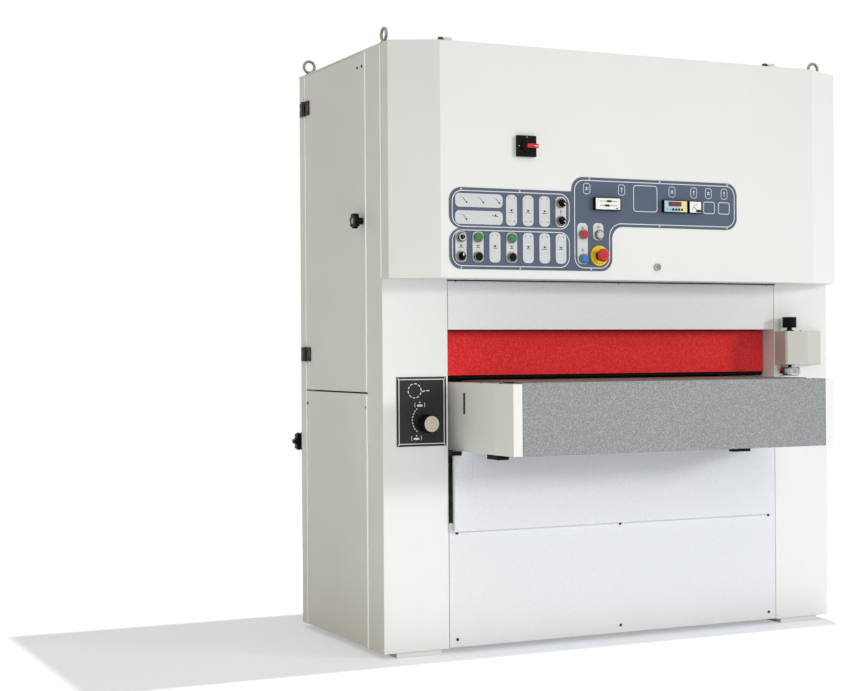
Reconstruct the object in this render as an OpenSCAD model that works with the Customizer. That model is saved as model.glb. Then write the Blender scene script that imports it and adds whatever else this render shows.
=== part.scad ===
// Wide belt sander: a conveyor table between two columns, a sanding head above it,
// and a lift-up hood in front that carries the control panel.
// Millimetres, +Z up. The origin lies on the floor under the middle of the machine;
// the operator stands on the -Y side.

/* [Body] */
// Width over the side walls
body_w = 1583; // [1540:1:1640]
// Depth from the front of the columns to their back
body_d = 656; // [640:1:720]
// Height of the body above its foot pads
body_h = 1756; // [1740:1:1850]
// Height of the foot pads
foot_h = 15; // [8:1:30]
// Length of a foot pad, across the machine
foot_l = 143; // [100:1:150]
// Depth of a foot pad
foot_d = 120; // [80:1:180]
// Distance of a foot pad from the outer side
foot_inset = 42; // [25:1:50]
// Distance of a foot pad from the front and the back
foot_setback = 5; // [0:1:40]
// Width of each column
column_w = 207; // [200:1:215]
// Plate thickness of the columns
column_t = 4; // [3:0.5:6]
// Thickness of the floor plates
floor_t = 8; // [6:1:12]
// Width of the fixed strip on the side, in front of the door
front_strip = 111; // [90:1:130]
// Width of the fixed strip on the side, behind the door
rear_strip = 50; // [48:1:80]
// Thickness of the top cover
top_t = 3; // [2:0.5:5]
// Height and depth of the cross beams
beam_h = 80; // [60:1:90]
beam_d = 34; // [28:1:36]
// Wall of the cross beams
beam_wall = 4; // [3:0.5:6]

/* [Covers and doors] */
// Sheet thickness of covers, doors and hood
cover_t = 2; // [1.5:0.5:3]
// Depth of a cover's folded edge
cover_fold = 20; // [15:1:22]
// Gap round covers and doors
cover_gap = 2; // [1:0.5:3]
// Gap between a door and the cover under it
sill_gap = 5; // [2:0.5:8]
// Height of the doors' lower edge above the body's underside
door_bottom = 750; // [700:1:800]
// Height of the front and rear lower covers' top edge
lower_cover_top = 366; // [320:1:375]
// Height of the lower edge of the panel under the hood
upper_panel_bottom = 932; // [920:1:960]
// Height of the lower door hinge above the body's underside
hinge_low = 862; // [820:1:960]
// Distance of the upper door hinge below the body's top
hinge_top_drop = 110; // [76:1:256]
// Height, leaf width and leaf thickness of a door hinge
hinge_h = 45; // [40:1:70]
leaf_w = 38; // [25:1:45]
leaf_t = 5; // [3:0.5:6]
// Knuckle radius and pin radius of a door hinge
knuckle_r = 7; // [6:0.5:9]
hinge_pin_r = 3; // [2:0.5:4]
// Height of the door knob, and its distance behind the column front
latch_h = 1254; // [1000:1:1400]
latch_back = 143; // [135:1:250]
// Door knob: head radius and thickness, stem radius and length
knob_r = 22.5; // [18:0.5:28]
knob_t = 15; // [10:0.5:20]
knob_stem_r = 10; // [7:0.5:14]
knob_stem_l = 16; // [10:0.5:25]
// Rear knob: head radius, head thickness, stem length
rear_knob_r = 32; // [25:0.5:36]
rear_knob_t = 22; // [15:0.5:30]
rear_knob_stem_l = 34; // [20:0.5:45]
// Height of the rear knob, and its distance from the outer side
rear_knob_h = 579; // [500:1:650]
rear_knob_in = 20; // [18:1:60]

/* [Hood] */
// Height of the hood's underside above the body's underside
hood_bottom = 1078; // [1060:1:1090]
// How far the hood stands out from the columns
hood_out = 110; // [105:1:150]
// Depth of the hood's straight side
hood_return = 47; // [30:1:60]
// Width of the slanted corner of the hood
hood_chamfer = 136; // [100:1:150]
// Radius of the hood's hinge knuckles and pins
lug_r = 12; // [10:0.5:14]
lug_pin_r = 5; // [4:0.5:6]
// Width of a hood hinge lug, and its distance from the outer side
lug_w = 20; // [14:1:26]
lug_in = 212; // [150:1:260]
// Height of the hood's hinge axis above the top
lug_rise = 22; // [18:0.5:28]

/* [Control panel] */
// Thickness of the panel plate
plate_t = 2; // [1:0.5:3]
// Left edge of the panel from the body's left side, and its height
panel_u = 162; // [150:1:200]
panel_v = 1104; // [1090:1:1120]
// Width of the left block, and height of its two rows
block_w = 440; // [420:1:460]
row_h = 117; // [110:1:125]
// Distance of the right block from the panel's left edge, and its width
right_u = 402; // [395:1:410]
right_w = 589; // [560:1:640]
// Height of the right block's top above the panel's lower edge
right_top = 278; // [265:1:300]
// Height of the right block's underside, and width of its leg
right_under = 134; // [130:1:150]
leg_w = 138; // [132:1:160]
// Corner radius of the panel
panel_r = 38; // [25:1:45]
// Outer radius, inner radius and height of a button bezel
bezel_r = 14.7; // [13:0.1:17]
bezel_in_r = 11.5; // [10:0.1:12.5]
bezel_h = 8; // [5:0.5:12]
// How far a button cap stands out of its bezel, and its thickness
cap_out = 3; // [1:0.5:5]
cap_t = 6; // [5:0.5:7]
// Radius of the emergency stop's head and of its disc
stop_r = 19.5; // [16:0.5:22]
stop_disc_r = 30; // [26:0.5:32]
// Side of the main switch's square plate
switch_w = 61; // [50:1:70]

/* [Conveyor table] */
// Gap between the table's side covers and the columns
table_gap = 31; // [25:0.5:40]
// Length of the table, front to back
table_l = 1331; // [1250:1:1450]
// Height of the belt's upper side above the body's underside
table_top = 782; // [770:1:790]
// Height of the table's side covers
table_h = 200; // [190:1:215]
// Width of the side covers, and how much they narrow at both ends
side_w = 35; // [30:1:40]
side_narrow = 6; // [2:0.5:12]
// Length of the narrowed ends
side_end_l = 98; // [60:1:150]
// Thickness of the bed's side plates
bed_t = 6; // [4:0.5:10]
// Distance of the belts' edges from the side covers, and the conveyor belt's thickness
belt_side = 18.5; // [17:0.5:40]
belt_t = 2; // [1.5:0.5:3]
// Radius of the conveyor rollers and of their shafts
roller_r = 48; // [42:0.5:55]
roller_shaft_r = 15; // [12:0.5:18]
// Distance of the roller axes from the ends of the table
roller_back = 76; // [70:1:90]
// How far the table can be lowered
table_travel = 150; // [100:1:160]
// Gap between the aprons' ends and the columns, and the aprons' height
apron_side = 13; // [8:0.5:40]
apron_h = 236; // [225:1:260]
// How far the aprons stand out from the columns
apron_out = 15; // [12:0.5:20]
// Lifting screw radius, and its distance from the column's inner face
screw_r = 15; // [12:0.5:18]
screw_in = 66; // [60:1:75]
// Depth and height of the lifting beam
lift_d = 80; // [60:1:100]
lift_h = 56; // [45:1:65]

/* [Sanding head] */
// Clear height between the conveyor belt and the abrasive belt
pass_h = 12; // [8:0.5:14]
// Radius of the contact drum
drum_r = 110; // [95:1:115]
// Radius of the drum shaft
drum_shaft_r = 25; // [20:0.5:30]
// Radius of the tension roller and of its shaft
tension_r = 75; // [65:1:85]
tension_shaft_r = 18; // [14:0.5:22]
// Distance between the two axes
belt_centres = 655; // [620:1:690]
// Thickness of the abrasive belt
abrasive_t = 1.2; // [0.8:0.1:2]
// Depth and height of the beam inside the abrasive belt
unit_d = 100; // [80:1:110]
unit_h = 120; // [100:1:130]
// Radius of the tension post
post_r = 30; // [24:0.5:36]
// How far the tension roller is let down to slacken the belt
tension_travel = 15; // [8:1:20]
// Radius of a pressure roller and of its shaft
press_r = 28; // [22:0.5:32]
press_shaft_r = 10; // [8:0.5:12]
// Distance of the pressure rollers from the drum's axis
press_y = 150; // [148:1:170]
// Thickness and height of the infeed guard
guard_t = 3; // [2:0.5:4]
guard_h = 134; // [125:1:140]
// Setback of the infeed guard behind the column front
guard_back = 58; // [45:1:70]
// Height of the guard's lower edge
guard_bottom = 797; // [796:1:800]
// Radius of the guard's hinge pin
guard_pin_r = 5; // [4:0.5:6]

/* [Drive] */
// Radius and width of the pulley on the drum, and radius of the motor's
drum_pulley_r = 90; // [80:1:95]
pulley_w = 50; // [40:1:55]
motor_pulley_r = 70; // [60:1:80]
// Thickness of the drive belts
vee_t = 8; // [6:0.5:10]
// Radius, length and shaft height of the main motor
motor_r = 105; // [95:1:115]
motor_length = 360; // [320:1:420]
motor_axis = 132; // [128:1:160]
// Radius of the motor shaft
motor_shaft_r = 19; // [16:0.5:22]
// Distance of the motor from the middle of the machine, to the back
motor_y = 156; // [152:1:158]

/* [Dust outlets] */
// Wall and height of a dust collar
collar_wall = 2; // [1.5:0.5:3]
collar_h = 80; // [50:1:85]
// Distance of the dust collars from the ends of the duct
collar_in = 180; // [100:1:300]
// Distance of the collars' edge from the duct's front and back
collar_edge = 5; // [4:0.5:15]
// Gap between the ends of the duct and the columns
dust_side = 104.5; // [90:0.5:160]

/* [Lifting eyes] */
// Mean radius of the ring, radius of its bar, height of its collar
eye_r = 18; // [15:0.5:26]
eye_bar_r = 4.5; // [4:0.5:8]
eye_collar_h = 12; // [6:0.5:14]
// Distance of the eyes from the sides, and from the front and back
eye_in = 23; // [22:1:40]
eye_back = 28; // [28:1:40]

/* [Thickness gauge] */
// Height of the gauge's underside, and its own height
gauge_bottom = 819; // [815:1:840]
gauge_h = 107; // [90:1:130]
// Depth of the gauge, width of its front and of its slanted side
gauge_d = 60; // [50:1:70]
gauge_front = 85; // [70:1:95]
gauge_slant = 98; // [80:1:105]
// Radius and height of the round foot under the gauge
gauge_foot_r = 33; // [26:0.5:34]
gauge_foot_h = 26; // [20:0.5:28]
// Radius and height of the gauge's knob
gauge_knob_r = 22; // [16:0.5:26]
gauge_knob_h = 34; // [24:0.5:40]

/* [Hidden] */
$fn = 64;

// One overrun serves every cut
overrun = 1;
// Clearance of a shaft in its bore, and between curved faces that pass each other
run_gap = 0.05;
free_gap = 0.3;

// Planes that most pieces are set from
x_side = body_w / 2;
x_in = x_side - column_w;
y_front = -body_d / 2;
y_back = body_d / 2;
z_body = foot_h;
z_top = foot_h + body_h;
z_lid = z_top - top_t;
column_h = body_h - top_t;

// Covers and doors
opening_l = body_d - front_strip - rear_strip;
door_y = y_front + front_strip + opening_l / 2;
door_w = opening_l - 2 * cover_gap;
door_h = column_h - door_bottom - cover_gap;
hinge_high = body_h - hinge_top_drop;
seam_y = y_back - rear_strip;
front_cover_w = 2 * (x_in - cover_gap);
hinge_gap = 1;
jamb_w = 14;
latch_shaft_r = 6;
vent_r = 3.5;
vent_back = 139;
vent_pitch = 34;
vent_drop = 43;
scallops = 7;
scallop_share = 0.3;
scallop_place_share = 1.12;

// Table widths and heights
table_w = 2 * (x_in - table_gap);
belt_w = table_w - 2 * side_w - 2 * belt_side;
drum_l = belt_w;
apron_w = 2 * (x_in - apron_side);
z_belt = z_body + table_top;
z_roller = z_belt - belt_t - free_gap - roller_r;
cover_drop = 5;
z_table = z_belt - cover_drop - table_h;
y_end = table_l / 2;
y_roller = y_end - roller_back;
table_sheet = 3;
x_bed = table_w / 2 - side_w;
screw_x = x_in + screw_in;
lift_reach = screw_x + 2 * screw_r;
lift_drop = 2;
lift_top = z_table - lift_drop;
window_gap = 12;
deck_t = 8;
rib_t = 10;
rib_count = 5;

// Sanding head heights
z_pass = z_belt + pass_h;
z_drum = z_pass + abrasive_t + free_gap + drum_r;
z_tension = z_drum + belt_centres;
hanger_t = 20;
hanger_gap = 6;
hanger_r = 60;
x_hanger = drum_l / 2 + hanger_gap;
unit_rise = 170;
z_unit = z_drum + unit_rise;
fork_bar_h = 50;
fork_drop = 120;
fork_d = 76;
belt_window_side = 15;
belt_window_drop = 10;
belt_window_rise = 30;
press_lift = 1;
z_press = z_pass + press_lift + press_r;
boss_d = 40;
boss_w = 22;
boss_h = 50;
guard_axis_drop = 8;
guard_axis_r = 8;
guard_end_gap = 3;

// Drive train
pulley_gap = 24;
pulley_x = lift_reach + pulley_gap;
flange_t = 5;
flange_rise = 5;
z_motor = z_body + floor_t + motor_axis;
motor_gap = 14;
motor_x = x_in - motor_gap;
wall_hole_gap = 15;
shaft_seat = 30;

// Lifting gear at the foot of the screws
sprocket_r = 35;
sprocket_h = 8;
chain_t = 6;
bearing_r = 28;
bearing_h = 10;
z_floor = z_body + floor_t;
z_sprocket = z_floor + bearing_h + hinge_gap;
screw_end = 45;
gear_w = 110;
gear_h = 90;
gear_gap = 6;
gear_motor_r = 55;
gear_motor_l = 160;
chain_slot = 8;

// Gauge and column knob
gauge_axis_in = 34;
gauge_axis_out = 35;
gauge_axis_x = x_in + gauge_axis_in;
gauge_axis_y = y_front - gauge_axis_out;
gauge_rod_r = 6;
gauge_neck_r = 8;
gauge_neck = 11;
gauge_edge = 2;
gauge_bevel = 5;
gauge_foot_gap = 8;
flutes = 18;
flute_share = 0.09;
foot_edge_share = 0.2;
speed_u = 133;
speed_v = 660;
speed_r = 25;
speed_l = 42;
speed_cap_r = 23;
speed_cap_t = 3;
speed_spindle_r = 5;
plate_w = 158;
plate_h = 201;
plate_u = 43;
plate_v = 594;

// Places on the hood front, from the body's left side and underside
y_hood = y_front - hood_out;
hood_h = body_h - hood_bottom;
col_pitch = 54.7;
first_col = 36;
low_row = 36;
high_row = 91;
upper_low_row = 146;
upper_high_row = 198;
leg_col = 38;
leg_col_pitch = 54;
leg_high_row = 108;
stop_row = 46;
lock_u = 862;
lock_v = 1119;
lock_r = 11;
lock_h = 5;
lock_collar = 1.5;
switch_u = 410;
switch_v = 1464;
switch_d = 12;
rim = 2;
rim_deep = 1;
// Meters: distance from the panel's left edge, width and depth; they share height and level
meter_v = 181;
meter_h = 38;
timer_u = 474;
timer_w = 89;
timer_d = 14;
counter_u = 716;
counter_w = 86;
counter_d = 12;
ammeter_u = 809;
ammeter_w = 46;
ammeter_d = 10;
stop_collar_r = 14;
stop_collar_h = 9;
stop_stem_r = 9;
stop_gap = 7;
stop_head_h = 14;
stop_edge = 3.5;
stop_dome = 6;
stop_disc_h = 3;
lever_w = 7;
lever_h = 10;
lever_l = 21;
handle_r = 19;
handle_w = 12;
handle_l = 36;
handle_tail = 6;
handle_h = 13;
handle_base = 7;

function col(i) = panel_u + first_col + i * col_pitch;
function leg(i) = panel_u + right_u + leg_col + i * leg_col_pitch;
key_at = [col(0), panel_v + high_row];
mode_at = [col(0), panel_v + low_row];
start_at = [col(1), panel_v + high_row];
halt_at = [col(1), panel_v + low_row];
feed_start_at = [col(3), panel_v + high_row];
feed_halt_at = [col(3), panel_v + low_row];
feed_at = [col(6), panel_v + upper_high_row];
lift_at = [col(6), panel_v + upper_low_row];
reset_at = [leg(0), panel_v + leg_high_row];
air_at = [leg(0), panel_v + low_row];
light_at = [leg(1), panel_v + leg_high_row];
stop_at = [leg(1), panel_v + stop_row];
bezel_places = [key_at, mode_at, start_at, halt_at, feed_start_at, feed_halt_at, feed_at, lift_at,
  reset_at, air_at, light_at];

paint_white = "#ebebe8";
paint_grey = "#9ea0a2";
steel = "#b4b6b8";
black = "#1c1c1e";
slate = "#566272";

// Shared shapes

// Folded sheet cover standing in XZ, outer face at y = 0 looking to -Y
module tray(w, h) {
  difference() {
    translate([-w / 2, 0, 0]) cube([w, cover_fold, h]);
    translate([-w / 2 + cover_t, cover_t, cover_t]) cube([w - 2 * cover_t, cover_fold, h - 2 * cover_t]);
  }
}

// Rectangle with round corners, from its lower left corner
module round_rect(w, h, r) {
  translate([r, 0]) square([w - 2 * r, h]);
  translate([0, r]) square([w, h - 2 * r]);
  for (x = [r, w - r], y = [r, h - r]) translate([x, y]) circle(r);
}

// Outline of a belt round two wheels: two circles and their outer tangents
module loop_2d(c1, r1, c2, r2) {
  d = norm(c2 - c1);
  phi = atan2(c2[1] - c1[1], c2[0] - c1[0]);
  beta = acos((r1 - r2) / d);
  function rim_point(c, r, a) = c + r * [cos(a), sin(a)];
  translate(c1) circle(r1);
  translate(c2) circle(r2);
  polygon([rim_point(c1, r1, phi + beta), rim_point(c2, r2, phi + beta),
    rim_point(c2, r2, phi - beta), rim_point(c1, r1, phi - beta)]);
}

// Belt of thickness t lying outside the loop, w wide along X and centred on x = 0
module belt_loop(c1, r1, c2, r2, t, w) {
  translate([-w / 2, 0, 0]) rotate([90, 0, 90]) linear_extrude(w) difference() {
    loop_2d(c1, r1 + t, c2, r2 + t);
    loop_2d(c1, r1, c2, r2);
  }
}

// Cylinder along X between two places
module rod_x(r, x1, x2) {
  translate([x1, 0, 0]) rotate([0, 90, 0]) cylinder(r = r, h = x2 - x1);
}

// Open-ended rectangular tube along X
module tube_x(l, d, h, wall) {
  difference() {
    translate([-l / 2, 0, 0]) cube([l, d, h]);
    translate([-l / 2 - overrun, wall, wall]) cube([l + 2 * overrun, d - 2 * wall, h - 2 * wall]);
  }
}

// Scalloped hand knob along +Z: shaft below its seat, stem and head above
module hand_knob(r, t, stem_r, stem_l, shaft_r, shaft_l) {
  translate([0, 0, -shaft_l]) cylinder(r = shaft_r, h = shaft_l + stem_l);
  cylinder(r = stem_r, h = stem_l);
  translate([0, 0, stem_l]) difference() {
    cylinder(r = r, h = t);
    for (i = [0 : scallops - 1]) rotate(i * 360 / scallops)
      translate([r * scallop_place_share, 0, -overrun])
        cylinder(r = r * scallop_share, h = t + 2 * overrun);
  }
}

// Puts a shape drawn in (across, up, out) at a place on the hood's front
module on_hood(place, out) {
  translate([place[0] - x_side, y_hood - out, z_body + place[1]]) rotate([90, 0, 0]) children();
}

// Frame

module foot_pads() {
  for (sx = [-1, 1], sy = [-1, 1])
    translate([sx * (x_side - foot_inset - foot_l / 2) - foot_l / 2,
      sy * (-y_front - foot_setback - foot_d / 2) - foot_d / 2, 0])
      cube([foot_l, foot_d, foot_h]);
}

module base_frame() {
  color(paint_white) {
    foot_pads();
    translate([-x_in, y_front + cover_fold, z_body]) cube([2 * x_in, body_d - 2 * cover_fold, floor_t]);
    for (y = [y_front + cover_fold, y_back - cover_fold - beam_d])
      translate([0, y, z_body + floor_t / 2]) tube_x(2 * x_in, beam_d, beam_h, beam_wall);
  }
}

// Column on the left; its side is open where the door and the lower cover sit,
// with folded jambs behind their edges
module column_body() {
  z_jamb = z_body + floor_t / 2;
  jamb_h = column_h - floor_t / 2;
  translate([-x_side, y_front, z_body]) difference() {
    cube([column_w, body_d, column_h]);
    translate([column_t, column_t, floor_t])
      cube([column_w - 2 * column_t, body_d - 2 * column_t, column_h]);
    translate([-overrun, front_strip, -overrun])
      cube([cover_fold + overrun, opening_l, column_h + 2 * overrun]);
  }
  for (y = [y_front + front_strip - column_t, seam_y])
    translate([-x_side + column_t / 2, y, z_jamb]) cube([cover_fold + column_t / 2, column_t, jamb_h]);
  for (y = [y_front + front_strip - column_t, seam_y - jamb_w])
    translate([-x_side + cover_fold, y, z_jamb]) cube([column_t, jamb_w + column_t, jamb_h]);
  translate([-screw_x, 0, z_body + floor_t / 2]) cylinder(r = bearing_r, h = floor_t / 2 + bearing_h);
  for (y = [-press_y, press_y])
    translate([-x_in - column_t / 2, y - boss_d / 2, z_press - press_r])
      cube([boss_w + column_t / 2, boss_d, boss_h]);
}

// Holes that both columns have, seen on the left one
module column_holes() {
  wall_x = -x_in - column_t - overrun;
  wall_cut = column_t + 2 * overrun;
  slot = sprocket_r + chain_t + chain_slot;
  translate([wall_x, -lift_d / 2 - window_gap, lift_top - lift_h - table_travel - window_gap])
    cube([wall_cut, lift_d + 2 * window_gap, lift_h + table_travel + 2 * window_gap]);
  translate([wall_x, -slot, z_floor + hinge_gap])
    cube([wall_cut, 2 * slot, bearing_h + sprocket_h + chain_slot]);
  translate([0, y_front + guard_back + guard_axis_r, z_guard_axis])
    rod_x(guard_pin_r + run_gap, wall_x, -x_in + overrun);
  for (y = [-press_y, press_y])
    translate([0, y, z_press]) rod_x(press_shaft_r + run_gap, wall_x, -x_in + boss_w + overrun);
  translate([-screw_x, 0, -overrun]) cylinder(r = screw_r + run_gap, h = z_floor + bearing_h + 2 * overrun);
}

module left_column() {
  window_w = 2 * (drum_r + belt_window_side);
  z1 = z_drum - drum_r - abrasive_t - belt_window_drop;
  z2 = z_tension + tension_r + belt_window_rise;
  color(paint_white) difference() {
    column_body();
    column_holes();
    translate([-x_in - column_t - overrun, -window_w / 2, z1])
      cube([column_t + 2 * overrun, window_w, z2 - z1]);
    translate([speed_u - x_side, y_front - overrun, z_body + speed_v])
      rotate([-90, 0, 0]) cylinder(r = speed_spindle_r + run_gap, h = column_t + 2 * overrun);
    translate([rear_knob_in - x_side, y_back - column_t - overrun, z_body + rear_knob_h])
      rotate([-90, 0, 0]) cylinder(r = latch_shaft_r + run_gap, h = column_t + 2 * overrun);
  }
}

module right_column() {
  color(paint_white) difference() {
    mirror([1, 0, 0]) {
      difference() {
        column_body();
        column_holes();
      }
    }
    translate([0, 0, z_drum]) rod_x(drum_shaft_r + wall_hole_gap, x_in - overrun, x_in + column_t + overrun);
    translate([0, motor_y, z_motor])
      rod_x(motor_shaft_r + wall_hole_gap, x_in - overrun, x_in + column_t + overrun);
  }
}

module cross_beams() {
  z_mid = z_body + upper_panel_bottom + cover_fold;
  color(paint_white) for (y = [y_front + cover_fold, y_back - cover_fold - beam_d], z = [z_mid,
    z_lid - beam_h])
    translate([0, y, z]) tube_x(2 * x_in, beam_d, beam_h, beam_wall);
}

module top_cover() {
  color(paint_white) difference() {
    union() {
      translate([-x_side, y_front, z_lid]) cube([body_w, body_d, top_t]);
      for (x = [-collar_x, collar_x]) translate([x, dust_y, z_lid])
        cylinder(r = collar_r, h = top_t + collar_h);
    }
    for (x = [-collar_x, collar_x]) translate([x, dust_y, z_lid - overrun])
      cylinder(r = collar_r - collar_wall, h = top_t + collar_h + 2 * overrun);
  }
}

module rear_cover() {
  z = z_body + upper_panel_bottom;
  color(paint_white) translate([0, y_back, z]) rotate(180) tray(front_cover_w, z_lid - z - cover_gap);
}

module fixed_covers() {
  low_h = lower_cover_top - cover_gap;
  side_h = door_bottom - cover_gap - sill_gap;
  color(paint_white) {
    translate([0, y_front, z_body + cover_gap]) tray(front_cover_w, low_h);
    translate([0, y_back, z_body + cover_gap]) rotate(180) tray(front_cover_w, low_h);
    translate([0, y_front, z_body + upper_panel_bottom])
      tray(front_cover_w, hood_bottom - upper_panel_bottom - cover_gap);
    for (s = [-1, 1]) translate([s * x_side, door_y, z_body + cover_gap]) rotate(s * 90) tray(door_w, side_h);
  }
}

// Ring, and the cone under it
eye_neck_share = 1.5;

module eye_bolt() {
  rise = eye_collar_h + eye_r;
  translate([0, 0, rise]) rotate([90, 0, 0]) rotate_extrude() translate([eye_r, 0]) circle(eye_bar_r);
  cylinder(r1 = eye_r - eye_bar_r / 2, r2 = eye_bar_r * eye_neck_share, h = eye_collar_h);
}

module eye_bolts() {
  color(steel) for (sx = [-1, 1], sy = [-1, 1])
    translate([sx * (x_side - eye_in), sy * (y_back - eye_back), z_top])
      rotate(sx < 0 && sy < 0 ? 90 : 0) eye_bolt();
}

// Sheet duct behind the drum that leads up to the dust collars
dust_gap = 4;
dust_clear = 8.5;
dust_front = drum_r + abrasive_t + free_gap + dust_clear;
dust_d = y_back - cover_fold - beam_d - dust_gap - dust_front;
dust_y = dust_front + dust_d / 2;
dust_w = 2 * (x_in - dust_side);
collar_r = dust_d / 2 - collar_edge;
collar_x = dust_w / 2 - collar_in;
dust_foot = 100;
dust_sheet = 3;
dust_mouth = 90;

module dust_hood() {
  z = z_drum - drum_r + dust_foot;
  color(steel) difference() {
    translate([-dust_w / 2, dust_front, z]) cube([dust_w, dust_d, z_lid - z]);
    translate([-dust_w / 2 + dust_sheet, dust_front + dust_sheet, z + dust_sheet])
      cube([dust_w - 2 * dust_sheet, dust_d - 2 * dust_sheet, z_lid - z - 2 * dust_sheet]);
    translate([-dust_w / 2 + dust_sheet, dust_front - overrun, z + dust_sheet])
      cube([dust_w - 2 * dust_sheet, dust_sheet + 2 * overrun, dust_mouth]);
    for (x = [-collar_x, collar_x]) translate([x, dust_y, z_lid - dust_sheet - overrun])
      cylinder(r = collar_r - collar_wall, h = dust_sheet + 2 * overrun);
  }
}

// Beam inside the abrasive belt, held by the right column only, so that a belt slides off to the left
module sanding_beam() {
  color(steel) difference() {
    union() {
      translate([-x_hanger - hanger_t, -unit_d / 2, z_unit])
        cube([x_hanger + hanger_t + x_in, unit_d, unit_h]);
      for (x = [-x_hanger - hanger_t, x_hanger]) {
        translate([x, -hanger_r, z_drum]) cube([hanger_t, 2 * hanger_r, unit_rise + unit_h / 2]);
        translate([0, 0, z_drum]) rod_x(hanger_r, x, x + hanger_t);
      }
    }
    translate([0, 0, z_drum]) rod_x(drum_shaft_r + run_gap, -x_hanger - hanger_t - overrun, x_in);
    translate([0, 0, z_unit - overrun]) cylinder(r = post_r + run_gap, h = unit_h + 2 * overrun);
  }
}

// Foot-mounted motor with cooling ribs, terminal box and fan cowl
fin_count = 28;
fin_t = 3;
fin_h = 8;
bell_l = 30;
motor_foot_w = 216;
motor_foot_t = 14;
motor_foot_l = 180;
terminal_w = 100;
terminal_h = 45;
foot_rise_share = 0.72;

module main_motor() {
  x1 = motor_x - motor_length;
  core_r = motor_r - fin_h;
  color("#4d565f") translate([0, motor_y, z_motor]) difference() {
    union() {
      rod_x(core_r, x1, motor_x);
      for (x = [x1, motor_x - bell_l]) rod_x(motor_r, x, x + bell_l);
      for (i = [0 : fin_count - 1]) rotate([i * 360 / fin_count, 0, 0])
        translate([x1 + bell_l / 2, -fin_t / 2, core_r - fin_h])
          cube([motor_length - bell_l, fin_t, 2 * fin_h]);
      translate([x1 + motor_length / 2 - motor_foot_l / 2, -motor_foot_w / 2, -motor_axis])
        cube([motor_foot_l, motor_foot_w, motor_foot_t]);
      for (y = [-motor_foot_w / 2, motor_foot_w / 2 - motor_foot_t])
        translate([x1 + motor_length / 2 - motor_foot_l / 2, y, -motor_axis])
          cube([motor_foot_l, motor_foot_t, motor_axis * foot_rise_share]);
      translate([x1 + motor_length / 2 - terminal_w / 2, -terminal_w / 2, 0])
        cube([terminal_w, terminal_w, motor_r + terminal_h]);
    }
    rod_x(motor_shaft_r + run_gap, motor_x - shaft_seat, motor_x + overrun);
  }
}

// Three vee belts side by side between the two pulleys
vee_count = 3;
vee_w_share = 0.2;
ridge_t = 2;

vee_pitch = (pulley_w - 2 * flange_t) / vee_count;

module drive_belts() {
  color(black) for (i = [0 : vee_count - 1])
    translate([pulley_x + flange_t + vee_pitch * (i + 1 / 2), 0, 0])
      belt_loop([0, z_drum], drum_pulley_r + free_gap, [motor_y, z_motor], motor_pulley_r + free_gap,
        vee_t, pulley_w * vee_w_share);
}

// Pulley with a flange at each end and a ridge between neighbouring belts
module pulley(r) {
  rod_x(r, pulley_x, pulley_x + pulley_w);
  for (x = [pulley_x, pulley_x + pulley_w - flange_t]) rod_x(r + flange_rise, x, x + flange_t);
  for (i = [1 : vee_count - 1]) translate([pulley_x + flange_t + vee_pitch * i, 0, 0])
    rod_x(r + flange_rise, -ridge_t / 2, ridge_t / 2);
}

// Back plate behind the hood with rows of switchgear
gear_plate_t = 3;
gear_margin = 16;
gear_rows = 3;
gear_cols = 9;
gear_deep = 62;
gear_tall_share = 0.5;
gear_wide_share = 0.72;

module electrical_panel() {
  z1 = z_body + hood_bottom + gear_margin;
  h = z_lid - gear_margin - z1;
  cell_w = 2 * (x_in - gear_margin) / gear_cols;
  cell_h = h / gear_rows;
  color(steel) translate([-x_in, y_front + cover_gap, z1]) cube([2 * x_in, gear_plate_t, h]);
  color(paint_grey) for (i = [0 : gear_cols - 1], j = [0 : gear_rows - 1])
    translate([-x_in + gear_margin + cell_w * (i + (1 - gear_wide_share) / 2),
      y_front + cover_gap - gear_deep,
      z1 + cell_h * (j + (1 - gear_tall_share) / 2)])
      cube([cell_w * gear_wide_share, gear_deep + gear_plate_t / 2, cell_h * gear_tall_share]);
}

module column_plate() {
  color(slate) difference() {
    translate([plate_u - x_side, y_front - plate_t, z_body + plate_v]) cube([plate_w, plate_t, plate_h]);
    translate([speed_u - x_side, y_front - plate_t - overrun, z_body + speed_v])
      rotate([-90, 0, 0]) cylinder(r = speed_spindle_r + free_gap, h = plate_t + 2 * overrun);
  }
}

// Gauge box on the right column: square on the left, slanted back on the right
module gauge_housing() {
  x = x_in + gauge_edge;
  color(paint_white) difference() {
    translate([0, 0, z_body + gauge_bottom]) linear_extrude(gauge_h)
      polygon([[x, y_front], [x, y_front - gauge_d + gauge_bevel], [x + gauge_bevel, y_front - gauge_d],
        [x + gauge_front, y_front - gauge_d], [x + gauge_front + gauge_slant, y_front]]);
    translate([gauge_axis_x, gauge_axis_y, z_body + gauge_bottom - overrun])
      cylinder(r = gauge_rod_r + run_gap, h = gauge_h + 2 * overrun);
  }
}

// Door hinge at its axis, on the left side: the fixed leaf carries the pin
module hinge_half(dir, low, high) {
  plate = leaf_w - knuckle_r - hinge_gap;
  translate([knuckle_r - leaf_t, dir > 0 ? knuckle_r + hinge_gap : -leaf_w, -hinge_h / 2])
    cube([leaf_t, plate, hinge_h]);
  translate([0, 0, low]) cylinder(r = knuckle_r, h = high - low);
  translate([knuckle_r - leaf_t, dir > 0 ? 0 : -leaf_w, low]) cube([leaf_t, leaf_w, high - low]);
}

module fixed_leaf() {
  hinge_half(1, -hinge_h / 2, -hinge_gap / 2);
  translate([0, 0, -hinge_h / 2]) cylinder(r = hinge_pin_r, h = hinge_h);
}

module at_hinges() {
  for (z = [hinge_low, hinge_high]) translate([-x_side - knuckle_r, seam_y, z_body + z]) children();
}

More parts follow.
